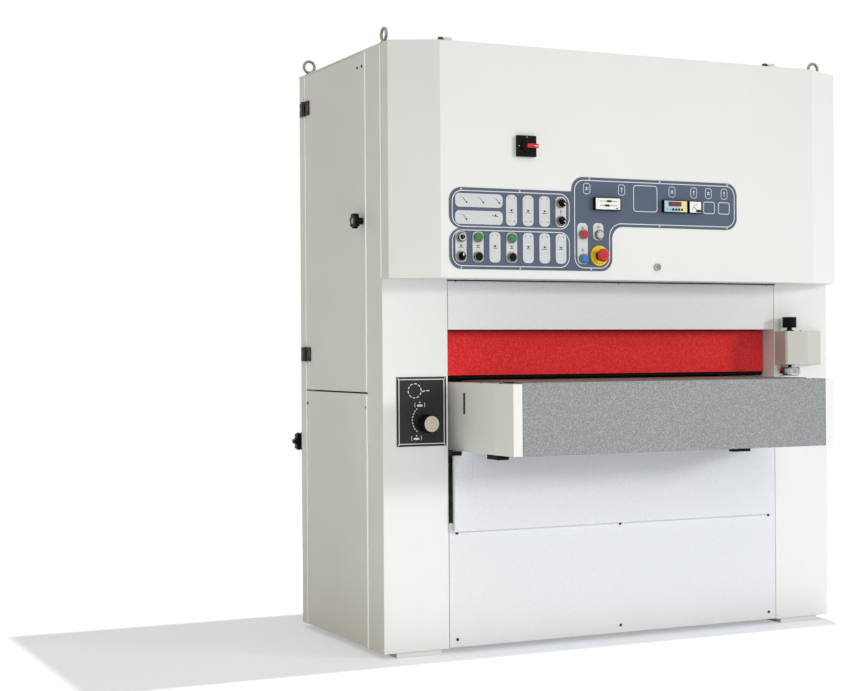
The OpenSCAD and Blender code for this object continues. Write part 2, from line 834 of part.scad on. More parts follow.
// Bracket of a hood hinge: a foot on the top cover and two ears with the pin
ear_t = 8;
ear_gap = 1;
ear_l = 56;
bracket_t = 6;
lug_y = y_front + lug_r + cover_gap;
z_lug = z_top + lug_rise;

module hood_bracket() {
  half = lug_w / 2 + ear_gap;
  for (x = [-half - ear_t, half]) {
    translate([x, 0, z_lug]) rod_x(lug_r, 0, ear_t);
    translate([x, -lug_r, z_top]) cube([ear_t, 2 * lug_r, lug_rise]);
    translate([x, -lug_r, z_top]) cube([ear_t, ear_l, bracket_t]);
  }
  translate([-half - ear_t, lug_r + ear_gap, z_top])
    cube([2 * (half + ear_t), ear_l - 2 * lug_r - ear_gap, bracket_t]);
  translate([0, 0, z_lug]) rod_x(lug_pin_r, -half - ear_t, half + ear_t);
}

module frame_hinges() {
  color(black) {
    at_hinges() fixed_leaf();
    mirror([1, 0, 0]) at_hinges() fixed_leaf();
    for (s = [-1, 1]) translate([s * (x_side - lug_in), lug_y, 0]) hood_bracket();
  }
}

// Gear motor on the left screw, and the chain that turns the right screw with it
module lift_drive() {
  z = z_sprocket + sprocket_h + gear_gap;
  color(steel) difference() {
    union() {
      translate([-screw_x - gear_w / 2, -gear_w / 2, z]) cube([gear_w, gear_w, gear_h]);
      translate([-screw_x, gear_w / 2 - gear_gap, z + gear_h / 2]) rotate([-90, 0, 0])
        cylinder(r = gear_motor_r - gear_gap, h = gear_motor_l);
      for (y = [-gear_w / 2, gear_w / 2 - gear_gap])
        translate([-screw_x - gear_w / 2, y, z_floor]) cube([gear_w, gear_gap, z - z_floor + gear_gap]);
    }
    translate([-screw_x, 0, z - overrun]) cylinder(r = screw_r + free_gap, h = gear_h + 2 * overrun);
  }
  color(black) translate([0, 0, z_sprocket]) linear_extrude(sprocket_h) difference() {
    loop_2d([-screw_x, 0], sprocket_r + free_gap + chain_t, [screw_x, 0], sprocket_r + free_gap + chain_t);
    loop_2d([-screw_x, 0], sprocket_r + free_gap, [screw_x, 0], sprocket_r + free_gap);
  }
}

module abrasive_belt() {
  color("#8a4a32") belt_loop([0, z_drum], drum_r + free_gap, [0, z_tension], tension_r + free_gap,
    abrasive_t, belt_w);
}

// Conveyor table

module conveyor_bed() {
  deck_l = 2 * (y_roller - roller_r - rib_t);
  z_deck = z_roller + roller_r - deck_t;
  plate_low = z_table;
  color(steel) difference() {
    union() {
      for (x = [-x_bed, x_bed - bed_t])
        translate([x, -y_end + table_sheet, plate_low])
          cube([bed_t, table_l - 2 * table_sheet, z_belt - cover_drop - belt_t - z_table - table_sheet]);
      translate([-x_bed + bed_t / 2, -deck_l / 2, z_deck]) cube([2 * x_bed - bed_t, deck_l, deck_t]);
      for (i = [0 : rib_count - 1])
        translate([-x_bed + bed_t / 2, -deck_l / 2 + i * (deck_l - rib_t) / (rib_count - 1),
          z_roller - roller_r + deck_t])
          cube([2 * x_bed - bed_t, rib_t, 2 * roller_r - deck_t - deck_t / 2]);
      for (x = [-x_bed, x_bed - bed_t]) translate([x, -lift_d / 2, lift_top - lift_h])
        cube([bed_t, lift_d, lift_h + 2 * lift_drop]);
      translate([-lift_reach, -lift_d / 2, lift_top - lift_h]) cube([2 * lift_reach, lift_d, lift_h]);
    }
    for (y = [-y_roller, y_roller]) translate([0, y, z_roller])
      rod_x(roller_shaft_r + run_gap, -x_bed - overrun, x_bed + overrun);
    for (x = [-screw_x, screw_x]) translate([x, 0, lift_top - lift_h - overrun])
      cylinder(r = screw_r + run_gap, h = lift_h + 2 * overrun);
  }
}

module conveyor_belt() {
  color("#3a3531")
    belt_loop([-y_roller, z_roller], roller_r + free_gap, [y_roller, z_roller], roller_r + free_gap,
    belt_t, belt_w);
}

// Folded side cover on the left, narrowing at both ends, open towards the bed
slot_back = 46;
slot_w = 7;
slot_h = 58;
slot_rise = 111;

module table_side() {
  x = -table_w / 2;
  difference() {
    translate([0, 0, z_table]) linear_extrude(table_h) polygon([[-x_bed, -y_end], [x + side_narrow, -y_end],
      [x, -y_end + side_end_l], [x, y_end - side_end_l], [x + side_narrow, y_end], [-x_bed, y_end]]);
    translate([0, 0, z_table + table_sheet]) linear_extrude(table_h - 2 * table_sheet)
      polygon([[-x_bed + overrun, -y_end + table_sheet],
        [x + side_narrow + table_sheet, -y_end + table_sheet],
        [x + table_sheet, -y_end + side_end_l], [x + table_sheet, y_end - side_end_l],
        [x + side_narrow + table_sheet, y_end - table_sheet], [-x_bed + overrun, y_end - table_sheet]]);
  }
}

module table_sides() {
  color(paint_white) {
    difference() {
      table_side();
      translate([-table_w / 2 - overrun, y_front - slot_back - slot_w / 2, z_table + slot_rise])
        cube([table_sheet + 2 * overrun, slot_w, slot_h]);
    }
    difference() {
      mirror([1, 0, 0]) table_side();
      translate([0, y_roller, z_roller])
        rod_x(roller_shaft_r + free_gap, x_bed + side_w / 2, table_w / 2 + overrun);
    }
  }
}

// Grey end plate with folded upper and lower edges
plate_fold = 30;

module table_plate() {
  h = table_h + cover_drop - belt_t;
  difference() {
    translate([-x_bed, -y_end, z_table]) cube([2 * x_bed, plate_fold, h]);
    translate([-x_bed - overrun, -y_end + table_sheet, z_table + table_sheet])
      cube([2 * (x_bed + overrun), plate_fold, h - 2 * table_sheet]);
    for (x = [-x_bed - overrun, x_bed - bed_t - free_gap])
      translate([x, -y_end + table_sheet, z_table - overrun])
        cube([bed_t + free_gap + overrun, plate_fold, h + 2 * overrun]);
  }
}

module table_plates() {
  color(paint_grey) {
    table_plate();
    mirror([0, 1, 0]) table_plate();
  }
}

// Apron under the table, folded back under the bed's side plates
apron_fold = 40;
apron_gap = 3;

module apron() {
  deep = apron_out - apron_gap;
  difference() {
    translate([-apron_w / 2, y_front - apron_out, z_table - apron_h]) cube([apron_w, deep, apron_h]);
    translate([-apron_w / 2 + table_sheet, y_front - apron_out + table_sheet,
      z_table - apron_h + table_sheet])
      cube([apron_w - 2 * table_sheet, deep, apron_h - 2 * table_sheet]);
  }
  translate([-x_bed, y_front - apron_out, z_table - table_sheet]) cube([2 * x_bed, apron_fold, table_sheet]);
}

module table_aprons() {
  color(paint_white) {
    apron();
    mirror([0, 1, 0]) apron();
  }
}

// Worm gear motor hung on the end of the drive roller's shaft
worm_w = 90;
worm_h = 110;
worm_gap = 4;
worm_arm_t = 8;
worm_motor_share = 1.2;

module conveyor_gearmotor() {
  x1 = table_w / 2 + worm_gap;
  color("#5d666e") difference() {
    union() {
      translate([x1, y_roller - worm_h / 2, z_roller - worm_h / 2]) cube([worm_w, worm_h, worm_h]);
      translate([x1 + worm_w / 2, y_roller - worm_h / 2 + worm_gap, z_roller]) rotate([90, 0, 0])
        cylinder(r = worm_w / 2, h = worm_h * worm_motor_share);
      translate([table_w / 2, y_roller - worm_h / 2, z_roller - worm_h / 2])
        cube([worm_gap + worm_arm_t, worm_arm_t, worm_h]);
    }
    translate([0, y_roller, z_roller]) rod_x(roller_shaft_r + run_gap, x1 - overrun, x1 + worm_w + overrun);
  }
}

shaft_out = 8;

module roller(r, shaft_r, l, x1, x2) {
  rod_x(r, -l / 2, l / 2);
  rod_x(shaft_r, x1, x2);
}

module drive_roller() {
  color(steel) translate([0, y_roller, z_roller])
    roller(roller_r, roller_shaft_r, belt_w, -x_bed - shaft_out, table_w / 2 + worm_gap + worm_w);
}

module idler_roller() {
  color(steel) translate([0, -y_roller, z_roller])
    roller(roller_r, roller_shaft_r, belt_w, -x_bed - shaft_out, x_bed + shaft_out);
}

module lift_screw() {
  translate([0, 0, z_body]) cylinder(r = screw_r, h = lift_top + screw_end - z_body);
  translate([0, 0, z_sprocket]) cylinder(r = sprocket_r, h = sprocket_h);
}

module lift_screw_left() {
  color(steel) translate([-screw_x, 0, 0]) lift_screw();
}

module lift_screw_right() {
  color(steel) translate([screw_x, 0, 0]) lift_screw();
}

// Sanding head

module contact_drum() {
  color("#2b2b2d") translate([0, 0, z_drum]) {
    roller(drum_r, drum_shaft_r, drum_l, -x_hanger - hanger_t - shaft_out, pulley_x + pulley_w);
    pulley(drum_pulley_r);
  }
}

module motor_pulley() {
  color(steel) translate([0, motor_y, z_motor]) {
    rod_x(motor_shaft_r, motor_x - shaft_seat, pulley_x + pulley_w);
    pulley(motor_pulley_r);
  }
}

// Fork that carries the tension roller and slides in the beam
module tension_fork() {
  z_bar = z_tension - fork_drop - fork_bar_h;
  z_post = z_unit - tension_travel / 2;
  color(steel) difference() {
    union() {
      translate([0, 0, z_post]) cylinder(r = post_r, h = z_bar + fork_bar_h / 2 - z_post);
      translate([-x_hanger - hanger_t, -fork_d / 2, z_bar])
        cube([2 * (x_hanger + hanger_t), fork_d, fork_bar_h]);
      for (x = [-x_hanger - hanger_t, x_hanger]) {
        translate([x, -fork_d / 2, z_bar]) cube([hanger_t, fork_d, z_tension - z_bar]);
        translate([0, 0, z_tension]) rod_x(fork_d / 2, x, x + hanger_t);
      }
    }
    translate([0, 0, z_tension])
      rod_x(tension_shaft_r + run_gap, -x_hanger - hanger_t - overrun, x_hanger + hanger_t + overrun);
  }
}

module tension_roller() {
  reach = x_hanger + hanger_t + shaft_out;
  color(steel) translate([0, 0, z_tension]) roller(tension_r, tension_shaft_r, drum_l, -reach, reach);
}

module infeed_pressure_roller() {
  color("#2b2b2d") translate([0, -press_y, z_press]) roller(press_r, press_shaft_r, belt_w, -x_in, x_in);
}

module outfeed_pressure_roller() {
  color("#2b2b2d") translate([0, press_y, z_press]) roller(press_r, press_shaft_r, belt_w, -x_in, x_in);
}

// Red guard that hangs from its upper edge and swings inwards
z_guard_axis = z_body + guard_bottom + guard_h - guard_axis_drop;

module infeed_guard() {
  reach = x_in - guard_end_gap;
  color("#c42a30") translate([0, y_front + guard_back, 0]) {
    translate([-reach, 0, z_body + guard_bottom]) cube([2 * reach, guard_t, guard_h - guard_axis_drop]);
    translate([-reach, 0, z_body + guard_bottom]) cube([2 * reach, guard_axis_r, guard_t]);
    translate([0, guard_axis_r, z_guard_axis]) {
      rod_x(guard_axis_r, -reach, reach);
      rod_x(guard_pin_r, -x_in - column_t, x_in + column_t);
    }
  }
}

// Doors

module door() {
  latch_x = door_y - (y_front + latch_back);
  difference() {
    union() {
      translate([-x_side, door_y, z_body + door_bottom]) rotate(-90) tray(door_w, door_h);
      at_hinges() difference() {
        hinge_half(-1, hinge_gap / 2, hinge_h / 2);
        translate([0, 0, -hinge_h]) cylinder(r = hinge_pin_r + run_gap, h = 2 * hinge_h);
      }
    }
    translate([-x_side - overrun, y_front + latch_back, z_body + latch_h])
      rotate([0, 90, 0]) cylinder(r = latch_shaft_r + run_gap, h = cover_t + 2 * overrun);
    for (i = [0, 1])
      translate([-x_side - overrun, y_front + vent_back + i * vent_pitch, z_lid - vent_drop])
        rotate([0, 90, 0]) cylinder(r = vent_r, h = cover_t + 2 * overrun);
  }
}

module door_knob() {
  translate([-x_side, y_front + latch_back, z_body + latch_h]) rotate([0, -90, 0])
    hand_knob(knob_r, knob_t, knob_stem_r, knob_stem_l, latch_shaft_r, cover_t);
}

module left_door() {
  color(paint_white) door();
}

module right_door() {
  color(paint_white) mirror([1, 0, 0]) door();
}

module left_door_knob() {
  color(black) door_knob();
}

module right_door_knob() {
  color(black) mirror([1, 0, 0]) door_knob();
}

module rear_knob() {
  color(black) translate([rear_knob_in - x_side, y_back, z_body + rear_knob_h]) rotate([-90, 0, 0])
    hand_knob(rear_knob_r, rear_knob_t, knob_stem_r, rear_knob_stem_l, latch_shaft_r, column_t);
}

// Hood

// Plan of the hood, inset by i from its outer faces
chamfer_slope = (hood_out - hood_return) / hood_chamfer;
chamfer_slant = sqrt(1 + chamfer_slope * chamfer_slope);
hood_gap = 1;

module hood_plan(i, back) {
  x = x_side - i;
  y_bend = y_front - hood_return + i * (chamfer_slant - chamfer_slope);
  x_bend = x_side - (hood_out - hood_return + i * (chamfer_slant - 1)) / chamfer_slope;
  polygon([[-x, back], [-x, y_bend], [-x_bend, y_hood + i], [x_bend, y_hood + i], [x, y_bend], [x, back]]);
}

lug_foot_l = 62;
lug_heel = -lug_r - cover_gap - hood_gap;

module hood_lug() {
  difference() {
    union() {
      translate([0, 0, z_lug]) rod_x(lug_r, -lug_w / 2, lug_w / 2);
      translate([-lug_w / 2, 0, 0]) rotate([90, 0, 90]) linear_extrude(lug_w)
        polygon([[-lug_foot_l, z_top - cover_t / 2], [lug_heel, z_top - cover_t / 2],
          [lug_heel, z_top + hinge_gap], [0, z_lug - lug_r], [0, z_lug + lug_r]]);
    }
    translate([0, 0, z_lug]) rod_x(lug_pin_r + run_gap, -lug_w, lug_w);
  }
}

module hood() {
  back = y_front - hood_gap;
  color(paint_white) difference() {
    union() {
      difference() {
        translate([0, 0, z_body + hood_bottom]) linear_extrude(hood_h) hood_plan(0, back);
        translate([0, 0, z_body + hood_bottom + cover_t]) linear_extrude(hood_h - 2 * cover_t)
          hood_plan(cover_t, back + overrun);
      }
      for (s = [-1, 1]) translate([s * (x_side - lug_in), lug_y, 0]) hood_lug();
    }
    on_hood([lock_u, lock_v], -cover_t - overrun)
      cylinder(r = lock_r - lock_collar + run_gap, h = cover_t + 2 * overrun);
  }
}

// Outline of the control panel: two rows on the left, a block with a leg on the right
module panel_outline() {
  for (j = [0, 1]) translate([0, j * row_h]) round_rect(block_w, row_h, panel_r);
  translate([right_u, 0]) round_rect(leg_w, right_top, panel_r);
  translate([right_u, right_under]) round_rect(right_w, right_top - right_under, panel_r);
  translate([panel_r, panel_r]) square([block_w - panel_r, 2 * (row_h - panel_r)]);
  translate([right_u - panel_r, 0]) square([2 * panel_r, panel_r]);
  translate([right_u - panel_r, row_h]) square([2 * panel_r, row_h]);
  translate([right_u + panel_r, right_under]) square([leg_w, panel_r]);
  translate([right_u + leg_w - overrun, right_under - panel_r]) difference() {
    square([panel_r + overrun, panel_r + overrun]);
    translate([panel_r + overrun, 0]) circle(panel_r);
  }
}

module control_panel() {
  color(slate) on_hood([panel_u, panel_v], 0) linear_extrude(plate_t) panel_outline();
}

bezel_side_share = 0.7;
bezel_edge_share = 0.15;

module button_bezels() {
  color(steel) for (p = bezel_places) on_hood(p, plate_t) rotate_extrude()
    polygon([[bezel_in_r, 0], [bezel_r, 0], [bezel_r, bezel_h * bezel_side_share],
      [bezel_r - bezel_h * bezel_edge_share, bezel_h], [bezel_in_r, bezel_h]]);
}

module meter(u, w, d) {
  on_hood([panel_u + u, panel_v + meter_v], plate_t) difference() {
    cube([w, meter_h, d]);
    translate([rim, rim, d - rim_deep]) cube([w - 2 * rim, meter_h - 2 * rim, rim_deep + overrun]);
  }
}

// Housings that stand on the hood: three meters, the main switch and the emergency stop's base
module instruments() {
  color(black) {
    meter(timer_u, timer_w, timer_d);
    meter(counter_u, counter_w, counter_d);
    meter(ammeter_u, ammeter_w, ammeter_d);
    on_hood([switch_u - switch_w / 2, switch_v - switch_w / 2], 0) difference() {
      cube([switch_w, switch_w, switch_d]);
      translate([switch_w / 2, switch_w / 2, switch_d - rim])
        cylinder(r = handle_r + free_gap, h = rim + overrun);
    }
    on_hood(stop_at, plate_t) difference() {
      union() {
        cylinder(r = stop_disc_r, h = stop_disc_h);
        cylinder(r = stop_collar_r, h = stop_disc_h + stop_collar_h);
      }
      translate([0, 0, stop_disc_h]) cylinder(r = stop_stem_r + free_gap, h = stop_collar_h + overrun);
    }
  }
}

module isolator_handle() {
  color("#c5232b") on_hood([switch_u, switch_v], switch_d - rim) {
    cylinder(r = handle_r, h = handle_base);
    translate([-handle_tail, -handle_w / 2, handle_base / 2]) cube([handle_l, handle_w, handle_h]);
  }
}

module estop_button() {
  color("#cf2028") on_hood(stop_at, plate_t + stop_disc_h + stop_gap) {
    cylinder(r = stop_stem_r, h = stop_collar_h + stop_gap);
    translate([0, 0, stop_collar_h]) rotate_extrude() polygon([[0, 0], [stop_r - stop_edge, 0],
      [stop_r, stop_edge], [stop_r, stop_head_h - stop_dome], [stop_r - stop_edge,
        stop_head_h - stop_edge / 2],
      [stop_r / 2, stop_head_h], [0, stop_head_h]]);
  }
}

// Flat push-button cap inside its bezel
module push_button(place) {
  r = bezel_in_r - free_gap;
  top = bezel_h + cap_out;
  on_hood(place, plate_t) rotate_extrude()
    polygon([[0, top - cap_t], [r, top - cap_t], [r, top - cap_out / 2], [r - cap_out / 2, top], [0, top]]);
}

// Selector: a disc in its bezel with a lever across it
module selector(place, turn) {
  r = bezel_in_r - free_gap;
  on_hood(place, plate_t) {
    cylinder(r = r, h = bezel_h);
    translate([0, 0, bezel_h / 2]) rotate(turn) translate([-lever_l / 2, -lever_w / 2, 0])
      cube([lever_l, lever_w, bezel_h / 2 + lever_h]);
  }
}

module start_button() {
  color("#1f8a3b") push_button(start_at);
}

module conveyor_button() {
  color("#1f8a3b") push_button(feed_start_at);
}

module stop_button() {
  color(black) push_button(halt_at);
}

module conveyor_stop_button() {
  color(black) push_button(feed_halt_at);
}

module reset_button() {
  color("#b5161f") push_button(reset_at);
}

module air_button() {
  color("#2274c4") push_button(air_at);
}

module light_button() {
  color("#e4e4e2") push_button(light_at);
}

key_r = 6;
key_h = 6;

module key_switch() {
  color(black) on_hood(key_at, plate_t) {
    cylinder(r = bezel_in_r - free_gap, h = bezel_h + cap_out);
    cylinder(r = key_r, h = bezel_h + cap_out + key_h);
  }
}

lever_turn = 35;

module mode_selector() {
  color(black) selector(mode_at, 90);
}

module feed_selector() {
  color(black) selector(feed_at, -lever_turn);
}

module lift_selector() {
  color(black) selector(lift_at, -lever_turn);
}

module cam_lock() {
  color(steel) on_hood([lock_u, lock_v], 0) difference() {
    union() {
      cylinder(r = lock_r, h = lock_h);
      translate([0, 0, -cover_t]) cylinder(r = lock_r - lock_collar, h = lock_h);
    }
    translate([-lock_r / 2, -lock_collar / 2, lock_h - lock_collar]) cube([lock_r, lock_collar, lock_h]);
  }
}

module speed_knob() {
  color(black) translate([speed_u - x_side, y_front - plate_t - free_gap, z_body + speed_v])
    rotate([90, 0, 0]) {
    cylinder(r = speed_r, h = speed_l);
    cylinder(r = speed_cap_r, h = speed_l + speed_cap_t);
    translate([0, 0, -plate_t - free_gap - column_t]) cylinder(r = speed_spindle_r, h = speed_l);
  }
}

// Rod through the gauge with a fluted knob above and a round foot below
module gauge_spindle() {
  z1 = z_body + gauge_bottom;
  z2 = z1 + gauge_h;
  foot_edge = gauge_foot_h * foot_edge_share;
  color(steel) translate([gauge_axis_x, gauge_axis_y, 0]) {
    translate([0, 0, z1 - gauge_foot_gap])
      cylinder(r = gauge_rod_r, h = gauge_foot_gap + gauge_h + gauge_neck);
    translate([0, 0, z1 - gauge_foot_gap - gauge_foot_h]) rotate_extrude()
      polygon([[0, 0], [gauge_foot_r - foot_edge, 0], [gauge_foot_r, foot_edge],
        [gauge_foot_r, gauge_foot_h - foot_edge], [gauge_foot_r - foot_edge, gauge_foot_h], [0,
          gauge_foot_h]]);
    translate([0, 0, z2]) cylinder(r = gauge_neck_r, h = gauge_neck);
    translate([0, 0, z2 + gauge_neck]) difference() {
      cylinder(r = gauge_knob_r, h = gauge_knob_h);
      for (i = [0 : flutes - 1]) rotate(i * 360 / flutes) translate([gauge_knob_r, 0, -overrun])
        cylinder(r = gauge_knob_r * flute_share, h = gauge_knob_h + 2 * overrun);
    }
  }
}

base_frame();
left_column();
right_column();
cross_beams();
top_cover();
rear_cover();
fixed_covers();
eye_bolts();
dust_hood();
sanding_beam();
main_motor();
drive_belts();
electrical_panel();
column_plate();
gauge_housing();
frame_hinges();
lift_drive();
abrasive_belt();
conveyor_bed();
conveyor_belt();
table_sides();
table_plates();
table_aprons();
conveyor_gearmotor();
drive_roller();
idler_roller();
lift_screw_left();
lift_screw_right();
contact_drum();
motor_pulley();
tension_fork();
tension_roller();
infeed_pressure_roller();
outfeed_pressure_roller();
infeed_guard();
left_door();
right_door();
left_door_knob();
right_door_knob();
rear_knob();
hood();
control_panel();
button_bezels();
instruments();
isolator_handle();
estop_button();
start_button();
conveyor_button();
stop_button();
conveyor_stop_button();
reset_button();
air_button();
light_button();
key_switch();
mode_selector();
feed_selector();
lift_selector();
cam_lock();
speed_knob();
gauge_spindle();
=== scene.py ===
# %% [markdown]
# # Dressing a wide belt sander
# The solids of this machine come ready made from CAD, so nothing here has to be modelled to size. What is
# left is what a photographer would see: powder coat, printed films, screws, meter faces and light. We load
# the solids as a fixed frame and hang every new piece on one of its moving bodies.

# %% Load the frame
import math

import bmesh
import bpy
from mathutils import Matrix, Vector


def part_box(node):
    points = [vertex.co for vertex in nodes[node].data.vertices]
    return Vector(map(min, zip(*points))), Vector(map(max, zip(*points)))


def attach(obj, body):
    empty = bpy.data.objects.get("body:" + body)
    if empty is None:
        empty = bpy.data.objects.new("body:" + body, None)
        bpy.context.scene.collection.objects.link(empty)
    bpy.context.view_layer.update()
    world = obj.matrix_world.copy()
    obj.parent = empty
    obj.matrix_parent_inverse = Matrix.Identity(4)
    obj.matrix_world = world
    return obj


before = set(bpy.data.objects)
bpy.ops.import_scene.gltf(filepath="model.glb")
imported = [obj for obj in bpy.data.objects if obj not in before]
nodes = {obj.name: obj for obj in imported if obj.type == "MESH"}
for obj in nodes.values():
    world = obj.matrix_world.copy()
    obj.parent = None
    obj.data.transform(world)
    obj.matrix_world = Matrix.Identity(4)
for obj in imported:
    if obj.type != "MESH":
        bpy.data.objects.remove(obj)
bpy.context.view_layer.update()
MM = 0.001

# %% [markdown]
# ## Small helpers for materials
# Colours are easiest to read as the hex values a paint program shows, but Blender calculates in linear
# light, so one function converts them. A second one adds a node, sets it up and links it in a single line.
# It takes socket names or numbers; the Mix node needs numbers, because it has several sockets called A and
# B. The others start a material and make the last links of a finish into its shader.

# %% Colour and node helpers
def linear(hex_colour):
    """An sRGB hex colour as the linear RGBA that shaders work in."""
    shown = [int(hex_colour[i:i + 2], 16) / 255 for i in (1, 3, 5)]
    return (*[c / 12.92 if c <= 0.04045 else ((c + 0.055) / 1.055) ** 2.4 for c in shown], 1.0)


def add(tree, kind, inputs=None, **settings):
    """Adds one node. Its kind is Blender's name without ShaderNode, settings are its own options, and
    inputs are values to set or sockets to link."""
    made = tree.nodes.new("ShaderNode" + kind)
    for option, value in settings.items():
        setattr(made, option, value)
    for socket, value in (inputs or {}).items():
        if isinstance(value, bpy.types.NodeSocket):
            tree.links.new(value, made.inputs[socket])
        else:
            made.inputs[socket].default_value = value
    return made


MIX_FACTOR, MIX_A, MIX_B, MIX_COLOUR = 0, 6, 7, 2
print("white paint in linear light:", [round(c, 3) for c in linear("#e9e8e4")])

# %% Start and end of a material
def start(name, **shader_values):
    """A new material, its node tree, its shader with plain values set, and coordinates in metres."""
    material = bpy.data.materials.new(name)
    material.use_nodes = True
    tree = material.node_tree
    shader = tree.nodes["Principled BSDF"]
    for socket, value in shader_values.items():
        shader.inputs[socket.replace("_", " ")].default_value = value
    return material, tree, shader, add(tree, "TexCoord").outputs["Object"]


def connect(tree, shader, colour, roughness, normal):
    """Links what a finish changes from place to place into its shader."""
    for socket, value in (("Base Color", colour), ("Roughness", roughness), ("Normal", normal)):
        tree.links.new(value, shader.inputs[socket])


def per_mm(size):
    """Texture scale at which one feature of the pattern is about this many millimetres wide."""
    return 1 / (size * MM)


print("a pattern of 4 mm has a scale of", per_mm(4))

# %% [markdown]
# ## Powder coat
# Sheet-metal covers are sprayed with dry powder and baked. The melt flows together into a skin with a faint
# orange peel, so highlights look slightly broken, and folded edges come out rounded. A bevel on every sheet
# would need clean topology, so the rounding is left to the Bevel node, which bends the normal near an edge;
# where it bends, a lighter colour is mixed in as a painted highlight along the edge. Two tones drift into
# each other over hand-sized patches, because a real panel is never one even value.

# %% Powder coat
CLOUD_MM, SMUDGE, SKIN_STRENGTH, EDGE_SAMPLES = 220, 0.07, 0.5, 4
SOFT, MEDIUM, FINE = 2.0, 3.0, 4.0
FLECK_FROM, FLECK_TO = 0.46, 0.62
FLAT_COSINE, BENT_COSINE = 0.98, 0.8


def powder_coat(name, colour, drift, peel_mm, depth_mm, roughness, edge_mm=3.0, rim=None, fleck=None,
                fleck_mm=None, **shader_values):
    """Two drifting tones with a peel of some width and depth, lighter flecks, and a painted highlight of a
    lighter colour along the edges.
    """
    material, tree, shader, place = start(name, IOR=1.5, **shader_values)
    cloud = add(tree, "TexNoise", {"Vector": place, "Scale": per_mm(CLOUD_MM), "Detail": MEDIUM}).outputs[0]
    shown = add(tree, "Mix", {MIX_FACTOR: cloud, MIX_A: linear(colour), MIX_B: linear(drift)},
                data_type="RGBA").outputs[MIX_COLOUR]
    if fleck:
        grain = add(tree, "TexNoise", {"Vector": place, "Scale": per_mm(fleck_mm), "Detail": FINE})
        spots = add(tree, "MapRange", {"Value": grain.outputs[0], "From Min": FLECK_FROM,
                                       "From Max": FLECK_TO})
        shown = add(tree, "Mix", {MIX_FACTOR: spots.outputs[0], MIX_A: shown, MIX_B: linear(fleck)},
                    data_type="RGBA").outputs[MIX_COLOUR]
    edge = add(tree, "Bevel", {"Radius": edge_mm * MM}, samples=EDGE_SAMPLES).outputs[0]
    # Where the Bevel normal bends away from the face, a lighter colour is mixed in: a painted highlight on
    # the edges
    if rim:
        flat = add(tree, "NewGeometry").outputs["Normal"]
        bend = add(tree, "VectorMath", {0: edge, 1: flat}, operation="DOT_PRODUCT").outputs["Value"]
        painted_highlight_mask = add(tree, "MapRange", {"Value": bend, "From Min": FLAT_COSINE, "From Max": BENT_COSINE})
        shown = add(tree, "Mix", {MIX_FACTOR: painted_highlight_mask.outputs[0], MIX_A: shown, MIX_B: linear(rim)},
                    data_type="RGBA").outputs[MIX_COLOUR]
    gloss = add(tree, "MapRange", {"Value": cloud, "To Min": roughness - SMUDGE,
                                   "To Max": roughness + SMUDGE})
    peel = add(tree, "TexNoise", {"Vector": place, "Scale": per_mm(peel_mm), "Detail": SOFT})
    bump = add(tree, "Bump", {"Height": peel.outputs[0], "Distance": depth_mm * MM,
                              "Strength": SKIN_STRENGTH, "Normal": edge})
    connect(tree, shader, shown, gloss.outputs[0], bump.outputs[0])
    return material


# Smooth polyester powder: a calm warm white. Its peel of 1.5 mm is drawn at 4 mm, to show from here
# Its edges get a lighter colour as a painted highlight
white_coat = powder_coat("white powder coat", "#e9e9e7", "#e4e4e1", 4.0, 0.06, 0.48, rim="#f6f6f4",
                         Specular_IOR_Level=0.35)
# The same powder on the folded lips, in a lighter colour as a painted highlight, and smoother
painted_highlight_coat = powder_coat("white powder coat painted lighter on folds", "#f7f7f5", "#f2f2ef", 4.0, 0.02, 0.45, edge_mm=0.3,
                        Specular_IOR_Level=0.35)
# Textured powder on the plain covers: a cooler white with a grain of 1 mm, drawn coarser
# Its edges also get a lighter colour as a painted highlight
speckled_coat = powder_coat("textured white powder coat", "#dadbdd", "#d6d7d9", 2.5, 0.25, 0.46,
                            rim="#f3f3f4", fleck="#eeeff0", fleck_mm=2.2)
# Wrinkle powder shrinks as it bakes: a grey skin with lighter flecks of 1 mm, drawn at 2.2 mm
grey_wrinkle = powder_coat("grey wrinkle powder coat", "#828486", "#7c7e80", 2.2, 0.4, 0.5, edge_mm=1.5,
                           fleck="#a4a6a8", fleck_mm=2.2)
# Textured red powder on the guard: lighter flecks of 1 mm, drawn at 4 mm to show on the bright red
red_coat = powder_coat("red textured powder coat", "#dd2a2e", "#d42529", 3.5, 0.2, 0.5, edge_mm=1.5,
                       fleck="#e63e41", fleck_mm=4.0, Specular_IOR_Level=0.25)
# Smooth powder in a pale grey on the small gauge box, darker than the white covers: even, with soft corners
# and a painted highlight on its edges
gauge_coat = powder_coat("pale grey powder coat", "#c5c3bd", "#bdbbb5", 3.5, 0.08, 0.4, rim="#d2d0cc")
# Thin black powder on hinges: nearly no colour, so only its gloss shows the form
black_coat = powder_coat("black powder coat", "#161617", "#1e1e1f", 3.0, 0.1, 0.45, edge_mm=0.8)
# Brushed enamel over rough iron castings: the sand mould still shows through as broad dents
# A lighter colour on its edges is a painted highlight
motor_enamel = powder_coat("cast iron enamel", "#57626d", "#4b555f", 6.0, 0.35, 0.42, edge_mm=1.5,
                           rim="#7a848d")
print("coats:", white_coat.name, speckled_coat.name, grey_wrinkle.name, red_coat.name, black_coat.name)

# %% [markdown]
# ## Bare metals
# Turned shafts carry fine rings, sheet zinc grows flat crystals called spangle, and chrome only shows what
# stands around it. All are metallic; what tells them apart is the size and direction of their scratches.
# Stretching the coordinates of a noise turns its blobs into scratches along one axis.

# %% Bare metals
PATTERN_FROM, PATTERN_TO = 0.35, 0.65
BRIGHTER, DULLER = 0.05, 0.07
SCRATCH_DEEP_MM, SCRATCH_STRENGTH, METAL_EDGE_MM = 0.02, 0.3, 0.5


